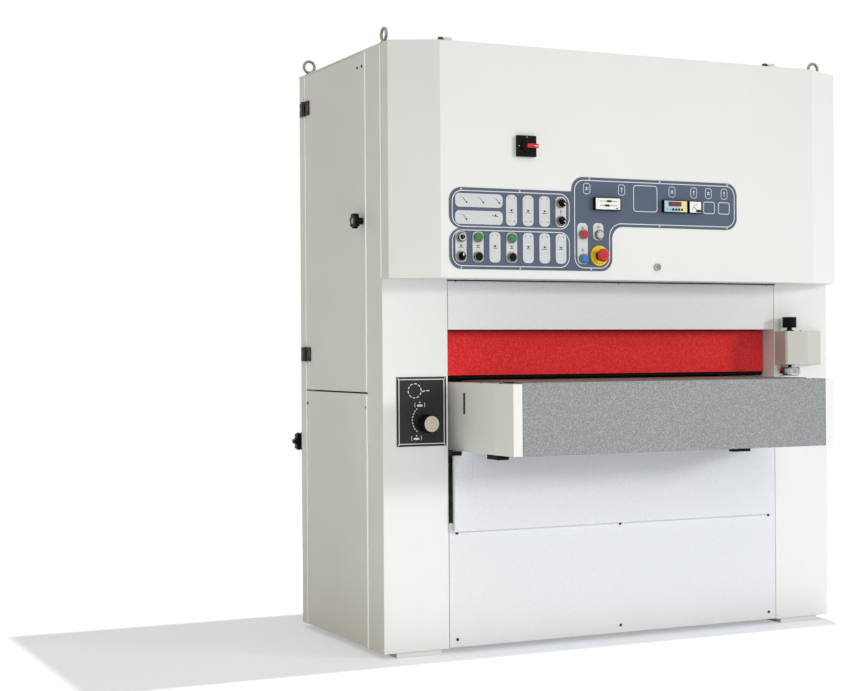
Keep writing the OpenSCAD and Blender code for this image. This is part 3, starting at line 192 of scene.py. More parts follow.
def bare_metal(name, colour, drift, roughness, scratch_mm, stretch=(1, 1, 1), spangle_mm=None):
    """Two tones of metal in scratches of some width, or in crystals."""
    material, tree, shader, place = start(name, Metallic=1.0)
    along = add(tree, "Mapping", {"Vector": place, "Scale": stretch})
    scratch = add(tree, "TexNoise", {"Vector": along.outputs[0], "Scale": per_mm(scratch_mm),
                                     "Detail": MEDIUM}).outputs[0]
    if spangle_mm:
        crystal = add(tree, "TexVoronoi", {"Vector": place, "Scale": per_mm(spangle_mm)})
        pattern = add(tree, "SeparateColor", {"Color": crystal.outputs["Color"]}).outputs[0]
    else:
        pattern = add(tree, "MapRange", {"Value": scratch, "From Min": PATTERN_FROM,
                                         "From Max": PATTERN_TO}).outputs[0]
    tone = add(tree, "Mix", {MIX_FACTOR: pattern, MIX_A: linear(colour), MIX_B: linear(drift)},
               data_type="RGBA")
    gloss = add(tree, "MapRange", {"Value": pattern, "To Min": roughness - BRIGHTER,
                                   "To Max": roughness + DULLER})
    edge = add(tree, "Bevel", {"Radius": METAL_EDGE_MM * MM}, samples=EDGE_SAMPLES)
    bump = add(tree, "Bump", {"Height": scratch, "Distance": SCRATCH_DEEP_MM * MM,
                              "Strength": SCRATCH_STRENGTH, "Normal": edge.outputs[0]})
    connect(tree, shader, tone.outputs[MIX_COLOUR], gloss.outputs[0], bump.outputs[0])
    return material


# Scratches of about 0.1 mm are drawn ten times as wide or more in all of these, so that they show
# Shafts from a lathe: rings round the long axis, a broken grey shine
turned_steel = bare_metal("turned steel", "#b3b5b7", "#97999c", 0.34, 1.2, stretch=(8, 1, 1))
# The same steel standing upright, as in the lifting screws
upright_steel = bare_metal("rolled screw steel", "#a6a8aa", "#7f8184", 0.34, 5.0, stretch=(1, 1, 3))
# Hot-dip zinc on sheet: flat crystals, each with its own tone
zinc_sheet = bare_metal("galvanised sheet", "#a9adaf", "#8f9497", 0.42, 2.0, spangle_mm=9.0)
# Zinc plate on drop forgings: dull and slightly yellow
zinc_plate = bare_metal("zinc-plated forging", "#a8a595", "#858272", 0.4, 2.5)
# Bright chrome on the gauge foot: long upright streaks of light and dark in its colour, a painted reflection
# rather than scratches
chrome = bare_metal("polished chrome plate with painted reflections", "#bcbdc0", "#96979b", 0.1, 5.0, stretch=(1, 1, 0.05))
# Bright zinc on small screws: pale, so each catches a point of light
bright_zinc = bare_metal("bright zinc plate", "#dededc", "#c6c6c4", 0.25, 1.0)
# Satin nickel on the button bezels: darker and warmer than chrome
nickel = bare_metal("satin nickel plate", "#9b968c", "#7d786e", 0.22, 1.0)
# Blackened screws: dark oxide with a dull metal gleam
black_oxide = bare_metal("black oxide steel", "#4d4d4f", "#39393b", 0.36, 1.0)
# Aluminium roller from a lathe: paler than steel, with clearer rings
turned_aluminium = bare_metal("turned aluminium", "#c6c8ca", "#b0b2b5", 0.3, 1.0, stretch=(10, 1, 1))
print("metals:", turned_steel.name, zinc_sheet.name, zinc_plate.name, chrome.name, nickel.name)

# %% [markdown]
# ## Rubber, belts and moulded plastic
# These are all dull or shiny skins over one body colour. A mould gives plastic a fine spark-eroded grain, a
# grinder leaves rubber matt, and the conveyor belt has a rough top that grips boards and fills with dust.
# One function covers them: base colour, a second tone, mostly darker, in the hollows of the same noise that
# drives the bump, and gloss.

# %% Rubber and plastic
WEAR = 0.08


def moulded(name, colour, hollow, grain_mm, depth_mm, roughness, edge_mm=0.6, **shader_values):
    """One colour with a grain of some width and depth, with another tone and less gloss in its hollows."""
    material, tree, shader, place = start(name, IOR=1.5, **shader_values)
    grain = add(tree, "TexNoise", {"Vector": place, "Scale": per_mm(grain_mm), "Detail": FINE}).outputs[0]
    raised = add(tree, "MapRange", {"Value": grain, "From Min": PATTERN_FROM, "From Max": PATTERN_TO})
    tone = add(tree, "Mix", {MIX_FACTOR: raised.outputs[0], MIX_A: linear(hollow), MIX_B: linear(colour)},
               data_type="RGBA")
    gloss = add(tree, "MapRange", {"Value": grain, "To Min": roughness + WEAR, "To Max": roughness - WEAR})
    edge = add(tree, "Bevel", {"Radius": edge_mm * MM}, samples=EDGE_SAMPLES)
    bump = add(tree, "Bump", {"Height": grain, "Distance": depth_mm * MM, "Strength": SKIN_STRENGTH,
                              "Normal": edge.outputs[0]})
    connect(tree, shader, tone.outputs[MIX_COLOUR], gloss.outputs[0], bump.outputs[0])
    return material


GLOSS = {"Coat_Weight": 0.3, "Coat_Roughness": 0.1}
# Grain from a mould or a grinder is 0.1 to 0.3 mm wide. All of it is drawn coarser here, so that it shows
# Rubber ground true on its drum: matt, with the drag marks of the stone
ground_rubber = moulded("ground rubber", "#262628", "#1b1b1d", 2.0, 0.2, 0.6)
# Rough-top belt: pips of 1 to 2 mm, beige with dust. They are drawn at 7 mm, to read as texture from here
rough_top_belt = moulded("rough-top conveyor belt", "#8c7a70", "#5d4a42", 7.0, 1.2, 0.78)
# Abrasive cloth: grit of 0.1 mm in resin, drawn at 1.5 mm, a dry red-brown
abrasive_grit = moulded("abrasive cloth", "#8d4b32", "#6d3724", 1.5, 0.4, 0.8)
# Glass-filled nylon from a spark-eroded mould: deep black with a soft sheen
black_moulding = moulded("black moulded nylon", "#111113", "#0c0c0e", 1.5, 0.08, 0.46,
                         Specular_IOR_Level=0.12)
# Soft black rubber, extruded: the die leaves it smooth, and it takes up nearly all light
lip_rubber = moulded("extruded lip rubber", "#0e0e0f", "#0a0a0b", 2.5, 0.05, 0.5, Specular_IOR_Level=0.12)
# Polished moulds make the caps glossy, and a clear depth over the colour does the rest
red_cap = moulded("red gloss plastic", "#c8171f", "#b8121a", 5.0, 0.03, 0.22, **GLOSS)
green_cap = moulded("green gloss plastic", "#14863a", "#0f7732", 5.0, 0.03, 0.24, **GLOSS)
blue_cap = moulded("blue gloss plastic", "#1877cf", "#146abb", 5.0, 0.03, 0.24, **GLOSS)
clear_cap = moulded("clear lens plastic", "#cfcfcd", "#b9b9b7", 5.0, 0.03, 0.18, **GLOSS)
# Dyed discs, inserts and housings: the same plastics from plain moulds, half matt
yellow_disc = moulded("yellow disc plastic", "#f0cf1d", "#e6c416", 5.0, 0.03, 0.35)
beige_cap = moulded("beige insert plastic", "#cdc5b2", "#c3baa6", 4.0, 0.03, 0.4)
pale_housing = moulded("pale grey housing plastic", "#c3c5c4", "#b5b7b6", 2.0, 0.05, 0.45)
dark_housing = moulded("charcoal housing plastic", "#3a3c3e", "#2f3133", 2.0, 0.05, 0.45,
                       Specular_IOR_Level=0.2)
# Vee belts have a woven cover: matt, with a cloth grain
vee_rubber = moulded("fabric-covered belt rubber", "#2a2a2b", "#1d1d1e", 1.2, 0.15, 0.65)
print("plastics:", len([m for m in bpy.data.materials if "plastic" in m.name]))

# %% [markdown]
# ## Printed film
# The control panel is a polyester film printed from behind: one slate ground, grey pads, white lines and
# dark signs. The print is only microns thick. It could be a texture drawn by nodes, but every pad has its
# own place, so thin meshes are simpler. The film itself has a fine satin grain that softens reflections.

# %% Film and inks
SATIN = {"edge_mm": 0.3, "Specular_IOR_Level": 0.3}
INK = {"edge_mm": 0.1, "Specular_IOR_Level": 0.3}
CARD_STOCK = {"edge_mm": 0.2, "Coat_Weight": 0.4}
# Satin polyester, printed from behind: even slate and charcoal grounds without a hard shine. Its grain of
# 0.05 mm is drawn at 1.2 mm
film = moulded("slate printed film", "#556173", "#515d6f", 1.2, 0.02, 0.42, **SATIN)
dark_film = moulded("charcoal printed film", "#272b2b", "#222626", 1.2, 0.02, 0.3, **SATIN)
# Screen inks: flat, dense tones with a hair of cloudiness from the squeegee
pad_ink = moulded("pad grey ink", "#d2d3d4", "#c9cacb", 3.0, 0.01, 0.42, **INK)
line_ink = moulded("white line ink", "#e6e7e8", "#dcdddf", 3.0, 0.01, 0.42, **INK)
sign_ink = moulded("dark sign ink", "#232528", "#2c2e31", 3.0, 0.01, 0.45, **INK)
# Cards behind clear covers: matt paper tones under a glassy coat
dial_card = moulded("dial card", "#efefea", "#e6e6e0", 4.0, 0.01, 0.4, **CARD_STOCK)
blue_card = moulded("pale blue front film", "#a9cbd6", "#a0c2ce", 4.0, 0.01, 0.4, **CARD_STOCK)
sand_card = moulded("sand front film", "#e5d9a3", "#dccf98", 4.0, 0.01, 0.4, **CARD_STOCK)
display_window = moulded("smoked red window", "#5d1216", "#4c0d11", 4.0, 0.01, 0.15, **CARD_STOCK)
lit_segment = moulded("lit red segment", "#c53a3a", "#b93030", 4.0, 0.01, 0.3, **INK)
print("films and inks:", film.name, dark_film.name, pad_ink.name, line_ink.name)

# %% [markdown]
# ## Painting the solids
# Each CAD node arrives with one plain material slot. Most need only a better material in that slot. A few
# nodes are one solid made of several stuffs, such as a drum with a rubber cover on a steel shaft, so a
# second helper gives another material to the faces whose middle passes a test. No vertex is touched.

# %% Paint whole nodes
def paint(material, *names):
    for name in names:
        nodes[name].material_slots[0].material = material


paint(white_coat, "base_frame", "left_column", "right_column", "cross_beams", "top_cover", "rear_cover",
      "fixed_covers", "table_sides", "left_door", "right_door", "hood")
paint(speckled_coat, "table_aprons")
paint(gauge_coat, "gauge_housing")
paint(grey_wrinkle, "table_plates")
paint(red_coat, "infeed_guard")
paint(black_coat, "frame_hinges")
paint(motor_enamel, "main_motor", "lift_drive", "conveyor_gearmotor")
paint(turned_steel, "sanding_beam", "conveyor_bed", "drive_roller", "idler_roller", "motor_pulley",
      "tension_fork")
paint(upright_steel, "lift_screw_left", "lift_screw_right")
paint(zinc_sheet, "dust_hood", "electrical_panel")
paint(zinc_plate, "eye_bolts")
paint(chrome, "cam_lock", "gauge_spindle")
paint(nickel, "button_bezels")
paint(turned_aluminium, "tension_roller")
paint(ground_rubber, "contact_drum", "infeed_pressure_roller", "outfeed_pressure_roller")
paint(vee_rubber, "drive_belts")
paint(rough_top_belt, "conveyor_belt")
paint(abrasive_grit, "abrasive_belt")
paint(black_moulding, "left_door_knob", "right_door_knob", "rear_knob", "instruments", "stop_button",
      "conveyor_stop_button", "mode_selector", "feed_selector", "lift_selector", "speed_knob", "key_switch")
paint(film, "control_panel")
paint(dark_film, "column_plate")
paint(red_cap, "isolator_handle", "estop_button", "reset_button")
paint(green_cap, "start_button", "conveyor_button")
paint(blue_cap, "air_button")
paint(clear_cap, "light_button")
print("finishes in use:", len({o.material_slots[0].material.name for o in nodes.values()}))

# %% Paint parts of a node
def repaint(name, material, inside):
    """Gives the faces whose middle passes the test another material."""
    mesh = nodes[name].data
    mesh.materials.append(material)
    for polygon in mesh.polygons:
        if inside(polygon.center):
            polygon.material_index = len(mesh.materials) - 1


column_low, column_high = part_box("left_column")
SIDE_X, FRONT_Y, BACK_Y = -column_low.x, column_low.y, column_high.y
COLUMN_W, HINGE_OUT, GUARD_PIN_IN = 207 * MM, 0.4 * MM, 2.9 * MM
CHAIN_H, CHAIN_HALF = 29 * MM, 42 * MM
COLUMN_INNER_X = SIDE_X - COLUMN_W
belt_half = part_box("conveyor_belt")[1].x
chain_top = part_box("lift_screw_left")[0].z + CHAIN_H
repaint("fixed_covers", speckled_coat, lambda c: abs(c.x) < COLUMN_INNER_X)
for side in ("left", "right"):
    repaint(side + "_door", black_coat, lambda c: abs(c.x) > SIDE_X + HINGE_OUT)
for roller in ("contact_drum", "infeed_pressure_roller", "outfeed_pressure_roller"):
    repaint(roller, turned_steel, lambda c: abs(c.x) > belt_half + MM)
repaint("infeed_guard", turned_steel, lambda c: abs(c.x) > COLUMN_INNER_X - GUARD_PIN_IN)
repaint("lift_drive", vee_rubber, lambda c: c.z < chain_top and abs(c.y) < CHAIN_HALF)
print("covers, doors, rollers, guard and chain have their second material")

# %% Paint hinges, gauge and switches
BRACKET_X, BRACKET_REACH, DARK_EAR = 579.5 * MM, 40 * MM, 10.5 * MM
repaint("frame_hinges", white_coat, lambda c: c.z > column_high.z and abs(c.x) < BRACKET_X + BRACKET_REACH
        and c.x - math.copysign(BRACKET_X, c.x) > -DARK_EAR)
gauge_low, gauge_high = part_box("gauge_housing")
foot_low, knob_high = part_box("gauge_spindle")
gauge_x, gauge_y = (foot_low.x + knob_high.x) / 2, (foot_low.y + knob_high.y) / 2
FOOT_H, ROD_R, HAIR = 27 * MM, 6.5 * MM, 0.5 * MM
repaint("gauge_spindle", black_moulding, lambda c: c.z > gauge_high.z + HAIR
        or c.z > foot_low.z + FOOT_H and math.hypot(c.x - gauge_x, c.y - gauge_y) < ROD_R)
meters_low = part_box("instruments")[0]
stop_low, stop_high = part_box("estop_button")
stop_at = (stop_low + stop_high) / 2
STOP_DISC_R, STOP_COLLAR_R, DISC_DEEP = 31 * MM, 15 * MM, 8 * MM


def on_stop_disc(c):
    reach = math.hypot(c.x - stop_at.x, c.z - stop_at.z)
    return STOP_COLLAR_R < reach < STOP_DISC_R and c.y > meters_low.y + DISC_DEEP


repaint("instruments", yellow_disc, on_stop_disc)
handle_low, handle_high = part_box("isolator_handle")
HANDLE_DEEP, INSERT_DEEP = 9 * MM, 0.2 * MM
repaint("isolator_handle", black_moulding, lambda c: c.y > handle_low.y + HANDLE_DEEP)
speed_low, speed_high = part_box("speed_knob")
repaint("speed_knob", beige_cap, lambda c: c.y < speed_low.y + INSERT_DEEP)
print("hinges, gauge, stop disc, main switch and speed knob have their second material")

# %% Paint the switchgear
gear_low, gear_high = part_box("electrical_panel")
GEAR_COLS, GEAR_ROWS, GEAR_MARGIN, GEAR_PLATE = 9, 3, 16 * MM, 3.5 * MM
CELL_W = (gear_high.x - gear_low.x - 2 * GEAR_MARGIN) / GEAR_COLS
CELL_H = (gear_high.z - gear_low.z) / GEAR_ROWS


def gear_tone(c):
    """0 or 1 in turn from one switchgear box to the next, and None on the plate behind them."""
    if c.y > gear_high.y - GEAR_PLATE:
        return None
    return (int((c.x - gear_low.x - GEAR_MARGIN) // CELL_W) + int((c.z - gear_low.z) // CELL_H)) % 2


repaint("electrical_panel", pale_housing, lambda c: gear_tone(c) == 0)
repaint("electrical_panel", dark_housing, lambda c: gear_tone(c) == 1)
print("nodes of several stuffs:", len([n for n, o in nodes.items() if len(o.data.materials) > 1]))

# %% [markdown]
# ## Building thin pieces on a face
# Print, screws and meter faces all lie on a flat side of the machine. It helps to draw them in millimetres,
# as on paper, and let a small function carry the drawing to its face. `face` makes such a function from a
# corner, a direction to the right and a direction up; the third number then counts outwards. Outlines come
# first, then the shapes that are built from them.

# %% Outlines
RIGHT, BACK, UP = Vector((1, 0, 0)), Vector((0, 1, 0)), Vector((0, 0, 1))


def face(corner, right, up):
    """Returns a function that turns (across, up, out) in millimetres into a point of the frame."""
    corner, right, up = Vector(corner), Vector(right), Vector(up)
    out = right.cross(up)
    return lambda u, v, w=0.0: corner + (right * u + up * v + out * w) * MM


def polar(radius, degrees):
    """A point at some distance from the origin, in some direction."""
    return radius * math.cos(math.radians(degrees)), radius * math.sin(math.radians(degrees))


def arc(centre, radius, first, last, steps=8):
    """Points along a circle, from one angle to another in degrees."""
    turns = [math.radians(first + (last - first) * i / steps) for i in range(steps + 1)]
    return [(centre[0] + radius * math.cos(t), centre[1] + radius * math.sin(t)) for t in turns]


def circle(centre, radius, points):
    """Points all round a circle."""
    return arc(centre, radius, 0, 360 * (1 - 1 / points), points - 1)


def round_rect(u, v, w, h, r):
    """Outline of a rectangle with round corners, anticlockwise from its lower right corner."""
    return (arc((u + w - r, v + r), r, -90, 0) + arc((u + w - r, v + h - r), r, 0, 90)
            + arc((u + r, v + h - r), r, 90, 180) + arc((u + r, v + r), r, 180, 270))


def box_loop(u, v, w, h):
    """Outline of a plain rectangle."""
    return [(u, v), (u + w, v), (u + w, v + h), (u, v + h)]


print("a corner has", len(arc((0, 0), 1, 0, 90)), "points")

# %% Shapes
SHARP = math.radians(35)


def skin(bm, rings, closed):
    """Joins rings of points, each with as many points, to one surface."""
    count = len(rings[0])
    for a, b in zip(rings, rings[1:] + rings[:1] if closed else rings[1:]):
        for i in range(count):
            j = (i + 1) % count
            bm.faces.new((a[i], a[j], b[j], b[i]))


def slab(bm, loop, at, low, high):
    """A flat piece with the outline loop, from low to high above the face."""
    rings = [[bm.verts.new(at(u, v, w)) for u, v in loop] for w in (low, high)]
    skin(bm, rings, False)
    bm.faces.new(rings[0][::-1])
    bm.faces.new(rings[1])


def frame_line(bm, outer, inner, at, low, high):
    """A closed line between two outlines that have the same number of points."""
    skin(bm, [[bm.verts.new(at(u, v, w)) for u, v in loop] for loop, w in
              ((outer, low), (outer, high), (inner, high), (inner, low))], True)


def stroke(bm, path, width, at, low, high):
    """A line of some width through the points of a path, one slab per stretch."""
    for (u1, v1), (u2, v2) in zip(path, path[1:]):
        length = math.hypot(u2 - u1, v2 - v1)
        du, dv = -(v2 - v1) / length * width / 2, (u2 - u1) / length * width / 2
        loop = [(u1 - du, v1 - dv), (u2 - du, v2 - dv), (u2 + du, v2 + dv), (u1 + du, v1 + dv)]
        slab(bm, loop, at, low, high)


def turned(bm, profile, centre, at, segments=32, hollow=False):
    """A lathe shape round an axis that stands on the face: profile is a list of (radius, height)."""
    rings = [[bm.verts.new(at(u, v, w)) for u, v in circle(centre, r, segments)] for r, w in profile]
    skin(bm, rings, hollow)
    if not hollow:
        bm.faces.new(rings[0][::-1])
        bm.faces.new(rings[-1])


def piece(name, bm, material, body):
    """Turns a bmesh into an object of one material that moves with a body."""
    mesh = bpy.data.meshes.new(name)
    bmesh.ops.recalc_face_normals(bm, faces=bm.faces)
    bm.to_mesh(mesh)
    bm.free()
    mesh.materials.append(material)
    mesh.shade_smooth()
    mesh.set_sharp_from_angle(angle=SHARP)
    made = bpy.data.objects.new(name, mesh)
    bpy.context.scene.collection.objects.link(made)
    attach(made, body)
    return made


def slab_piece(name, loop, at, low, high, material, body):
    """A piece that is one slab."""
    bm = bmesh.new()
    slab(bm, loop, at, low, high)
    return piece(name, bm, material, body)


print("shapes ready")

# %% [markdown]
# ## Control panel print
# The film shows two rows of pads on the left and an L-shaped field on the right. White lines follow the
# edge of each field at a constant distance. The lines stand 0.15 mm above the film: lower than the eye can
# tell from here, and high enough for the renderer not to mix the two surfaces.

# %% Panel lines
panel_low, panel_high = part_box("control_panel")
on_panel = face(panel_low, RIGHT, UP)
PANEL_W, PANEL_H = (panel_high.x - panel_low.x) / MM, (panel_high.z - panel_low.z) / MM
LEFT_W, ROW_H, LEG_W, UNDER = 402, 117, 138, 134
LINE, MARGIN, FIELD_R = 2.4, 8, 32
INK_FROM, INK_TO = 0.0, 0.15


def line_rect(bm, at, u, v, w, h, r, line):
    """A rectangle with round corners, drawn as a line."""
    frame_line(bm, round_rect(u, v, w, h, r),
               round_rect(u + line, v + line, w - 2 * line, h - 2 * line, r - line), at, INK_FROM, INK_TO)


def field_loop(inset):
    """Outline of the right-hand field: five round corners and one hollow one."""
    u1, u2, u3 = LEFT_W + inset, LEFT_W + LEG_W - inset, PANEL_W - inset
    v1, v2, v3 = inset, UNDER + inset, PANEL_H - inset
    r, hollow = FIELD_R + MARGIN - inset, FIELD_R + inset
    return (arc((u2 - r, v1 + r), r, -90, 0) + arc((u2 + hollow, v2 - hollow), hollow, 180, 90)
            + arc((u3 - r, v2 + r), r, -90, 0) + arc((u3 - r, v3 - r), r, 0, 90)
            + arc((u1 + r, v3 - r), r, 90, 180) + arc((u1 + r, v1 + r), r, 180, 270))


lines = bmesh.new()
for row in (0, 1):
    line_rect(lines, on_panel, MARGIN, row * ROW_H + MARGIN * (1 - row / 2), LEFT_W - 2 * MARGIN,
              ROW_H - 1.5 * MARGIN, FIELD_R, LINE)
frame_line(lines, field_loop(MARGIN), field_loop(MARGIN + LINE), on_panel, INK_FROM, INK_TO)
SIGN_US, SIGN_V, SIGN_W, SIGN_H = (453, 574, 753, 832, 886, 944), 228, 24, 33
SIGN_R, SIGN_LINE, WINDOW_LINE = 9, 1.6, 2
for u in SIGN_US:
    line_rect(lines, on_panel, u - SIGN_W / 2, SIGN_V, SIGN_W, SIGN_H, SIGN_R, SIGN_LINE)
# Empty windows in the field: across, up, width, height and corner radius
WINDOWS = ((615, 181, 85, 80, 10), (867, 182, 42, 37, 7), (922, 182, 42, 37, 7))
for window in WINDOWS:
    line_rect(lines, on_panel, *window, WINDOW_LINE)
piece("panel_lines", lines, line_ink, "hood")
print("panel", round(PANEL_W), "x", round(PANEL_H), "mm")

# %% Panel pads
PAD_W, PITCH, FIRST, PAD_R, COLUMNS = 35.5, 54.7, 18.5, 13, 7
LONG_VS, LONG_W, LONG_H = (129, 178), 153, 39
LOW_V, LOW_H, HIGH_V, HIGH_H, HIGH_FROM = 20, 88, 128, 89, 3
LEG_PADS = [(420, 20, PAD_W, 122), (474, 92, PAD_W, 51)]
PADS = ([(FIRST, v, LONG_W, LONG_H) for v in LONG_VS]
        + [(FIRST + i * PITCH, LOW_V, PAD_W, LOW_H) for i in range(COLUMNS)]
        + [(FIRST + i * PITCH, HIGH_V, PAD_W, HIGH_H) for i in range(HIGH_FROM, COLUMNS)]
        + LEG_PADS)
pads = bmesh.new()
for u, v, w, h in PADS:
    slab(pads, round_rect(u, v, w, h, PAD_R), on_panel, INK_FROM, INK_TO)
piece("panel_pads", pads, pad_ink, "hood")
print("pads:", len(PADS))

# %% [markdown]
# ## Signs on the pads
# Machine panels carry small pictograms: a switch arm, a roller, an arrow. These are generic ones. They
# could be a texture, but strokes and dots of one or two millimetres are quicker to draw as thin meshes,
# dark on the pads and white on the slate.

# %% Sign shapes
PRINT_FROM, PRINT_TO = 0.1, 0.3
PRINT = (on_panel, PRINT_FROM, PRINT_TO)
THIN, THICK = 1.6, 1.8
ARM = ((-9, 8), (-5, 6), (2, -3))
ARM_KNOB, ARM_START = (4, -5, 2.8), (-14, 9, 1.2)
SIDE_DOT_R, MARK_BAR, MARK_DOT_R = 0.9, 4, 1.7


def dot(bm, u, v, r):
    slab(bm, circle((u, v), r, 16), *PRINT)


def switch_arm(bm, u, v):
    """The sign for a selector: a slanted arm that ends in a knob."""
    stroke(bm, [(u + du, v + dv) for du, dv in ARM], THIN, *PRINT)
    for du, dv, r in (ARM_KNOB, ARM_START):
        dot(bm, u + du, v + dv, r)


def roller_sign(bm, u, v, size):
    """A roller over a board, between two dots."""
    dot(bm, u, v + size * 0.35, size * 0.45)
    stroke(bm, [(u - size, v - size * 0.5), (u + size, v - size * 0.5)], THICK, *PRINT)
    for s in (-1, 1):
        dot(bm, u + s * size * 0.95, v + size * 0.6, SIDE_DOT_R)


def arrow_sign(bm, u, v, size):
    stroke(bm, [(u, v - size), (u, v + size * 0.4)], THIN, *PRINT)
    slab(bm, [(u - size * 0.5, v + size * 0.3), (u + size * 0.5, v + size * 0.3), (u, v + size)], *PRINT)


def end_marks(bm, u, v, reach):
    """A bar on the left and a dot on the right: stop and go."""
    stroke(bm, [(u - reach, v), (u - reach, v + MARK_BAR)], THIN, *PRINT)
    dot(bm, u + reach, v + MARK_BAR / 2, MARK_DOT_R)


print("sign shapes ready")

# %% Signs
pad_us = [FIRST + PAD_W / 2 + i * PITCH for i in range(COLUMNS)]
ARM_SPOTS = ((32, 197), (86, 197), (138, 197), (32, 148))
LEVEL_BAR, LEVEL_DOT, LEVEL_LINE = ((118, 155), (138, 153)), (130, 157, 2.2), 2.0
SWITCH_COLUMNS = (0, 1, 3)
HIGH_SIGN_V, HIGH_MARK_VS, LOW_SIGN_V, LOW_MARK_V = 170, (207, 139), 65, 96
SMALL, LARGE, HIGH_REACH, LOW_REACH, ARROW_RISE, FIELD_ARROW = 6, 7, 9, 8, 2, 8
LEG_SPOTS, LEG_SIGN = ((437.7, 128), (437.7, 62), (491.7, 131)), 4.5
signs = bmesh.new()
for u, v in ARM_SPOTS:
    switch_arm(signs, FIRST + u, v)
stroke(signs, [(FIRST + u, v) for u, v in LEVEL_BAR], LEVEL_LINE, *PRINT)
dot(signs, FIRST + LEVEL_DOT[0], *LEVEL_DOT[1:])
for u in pad_us[HIGH_FROM:-1]:
    roller_sign(signs, u, HIGH_SIGN_V, LARGE)
    for v in HIGH_MARK_VS:
        end_marks(signs, u, v, HIGH_REACH)
for i, u in enumerate(pad_us):
    roller_sign(signs, u, LOW_SIGN_V, SMALL if i in SWITCH_COLUMNS else LARGE)
    if i not in SWITCH_COLUMNS:
        end_marks(signs, u, LOW_MARK_V, LOW_REACH)
arrow_sign(signs, pad_us[-1], HIGH_SIGN_V + ARROW_RISE, SMALL)
for u, v in LEG_SPOTS:
    roller_sign(signs, u, v, LEG_SIGN)
piece("pad_signs", signs, sign_ink, "hood")

pale_signs = bmesh.new()
for n, u in enumerate(SIGN_US):
    if n % 2:
        arrow_sign(pale_signs, u, SIGN_V + SIGN_H / 2, FIELD_ARROW)
    else:
        roller_sign(pale_signs, u, SIGN_V + SIGN_H / 2, SMALL)
piece("field_signs", pale_signs, line_ink, "hood")
print("signs drawn")

# %% [markdown]
# ## Meter faces
# Three instruments stand on the panel: a timer with two sliding marks, a counter with a small display and
# keys, and an ammeter with a needle. Their black boxes are CAD. Each face here is a card let into the box's
# rim, with its marks laid on top, so that the rim throws a thin real shadow on it.

# %% Timer
METER_V, METER_H, CARD, CARD_SUNK, CARD_R = 181, 38, 0.5, 1, 1.0
CARD_GAP = 2.2
THIN_PRINT = 0.2


def meter_card(name, material, u, w, depth):
    """A card one millimetre below a meter's rim; returns a drawing face on top of it."""
    low = depth - CARD_SUNK
    loop = round_rect(u + CARD_GAP, METER_V + CARD_GAP, w - 2 * CARD_GAP, METER_H - 2 * CARD_GAP, CARD_R)
    slab_piece(name, loop, on_panel, low, low + CARD, material, "hood")
    return lambda a, b, out=0.0: on_panel(a, b, out + low + CARD)


TRACK_FROM, TRACK_TO, TRACK_LINE = 490, 550, 1.4
SLIDERS, SLIDER_W, SLIDER_H, SLIDER_R, SLIDER_HIGH = ((522, 208), (515, 195)), 16, 6, 2.5, 1.2
TIMER_FOOT, FOOT_HIGH = (546, 184.5, 6, 4, 1.5), 0.3
on_timer = meter_card("timer_card", dial_card, u=474, w=89, depth=14)
timer_marks = bmesh.new()
for slider_u, v in SLIDERS:
    stroke(timer_marks, [(TRACK_FROM, v), (TRACK_TO, v)], TRACK_LINE, on_timer, 0, THIN_PRINT)
    slab(timer_marks, round_rect(slider_u - SLIDER_W / 2, v - SLIDER_H / 2, SLIDER_W, SLIDER_H, SLIDER_R),
         on_timer, 0, SLIDER_HIGH)
slab(timer_marks, round_rect(*TIMER_FOOT), on_timer, 0, FOOT_HIGH)
piece("timer_sliders", timer_marks, sign_ink, "hood")
print("timer with two sliders")

# %% Counter
SAND_U, SAND_W, SAND_IN, SAND_H = 772, 27.6, 0.2, 0.1
DISPLAY, DISPLAY_H = (733, 200, 46, 14, 1.5), 0.4
DIGIT_US, DIGIT_V, DIGIT_TO = (748, 756, 764, 772), 203, 0.5
SEGMENT_H, SEGMENT_W, SEGMENT_LINE, SEGMENT_GAP = 8.4, 3.6, 0.9, 0.4
KEY_U, KEY_V, KEY_PITCH, KEYS, KEY_R, LAMPS, LAMP_R = 728, 190.5, 10.6, 6, 3.8, 2, 1.6
KEY_SIDE, KEY_TOP, KEY_CROWN = 0.8, 1.2, 0.7
on_counter = meter_card("counter_card", blue_card, u=716, w=86, depth=12)
slab_piece("counter_side_card", round_rect(SAND_U, METER_V + CARD_GAP + SAND_IN, SAND_W,
                                           METER_H - 2 * CARD_GAP - 2 * SAND_IN, CARD_R),
           on_counter, 0, SAND_H, sand_card, "hood")
slab_piece("counter_window", round_rect(*DISPLAY), on_counter, 0, DISPLAY_H, display_window, "hood")
digits = bmesh.new()
for u in DIGIT_US:
    left, right, top = u - SEGMENT_W / 2, u + SEGMENT_W / 2, DIGIT_V + SEGMENT_H
    for path in ([(left, DIGIT_V), (right, DIGIT_V)], [(left, top), (right, top)],
                 [(left, DIGIT_V + SEGMENT_GAP), (left, top - SEGMENT_GAP)],
                 [(right, DIGIT_V + SEGMENT_GAP), (right, top - SEGMENT_GAP)]):
        stroke(digits, path, SEGMENT_LINE, on_counter, DISPLAY_H, DIGIT_TO)
piece("counter_digits", digits, lit_segment, "hood")
keys = bmesh.new()
for n in range(KEYS):
    r = LAMP_R if n < LAMPS else KEY_R
    turned(keys, [(r, 0), (r, KEY_SIDE), (r * KEY_CROWN, KEY_TOP)], (KEY_U + n * KEY_PITCH, KEY_V),
           on_counter, segments=20)
piece("counter_keys", keys, black_moulding, "hood")
print("counter with", len(DIGIT_US), "digits")

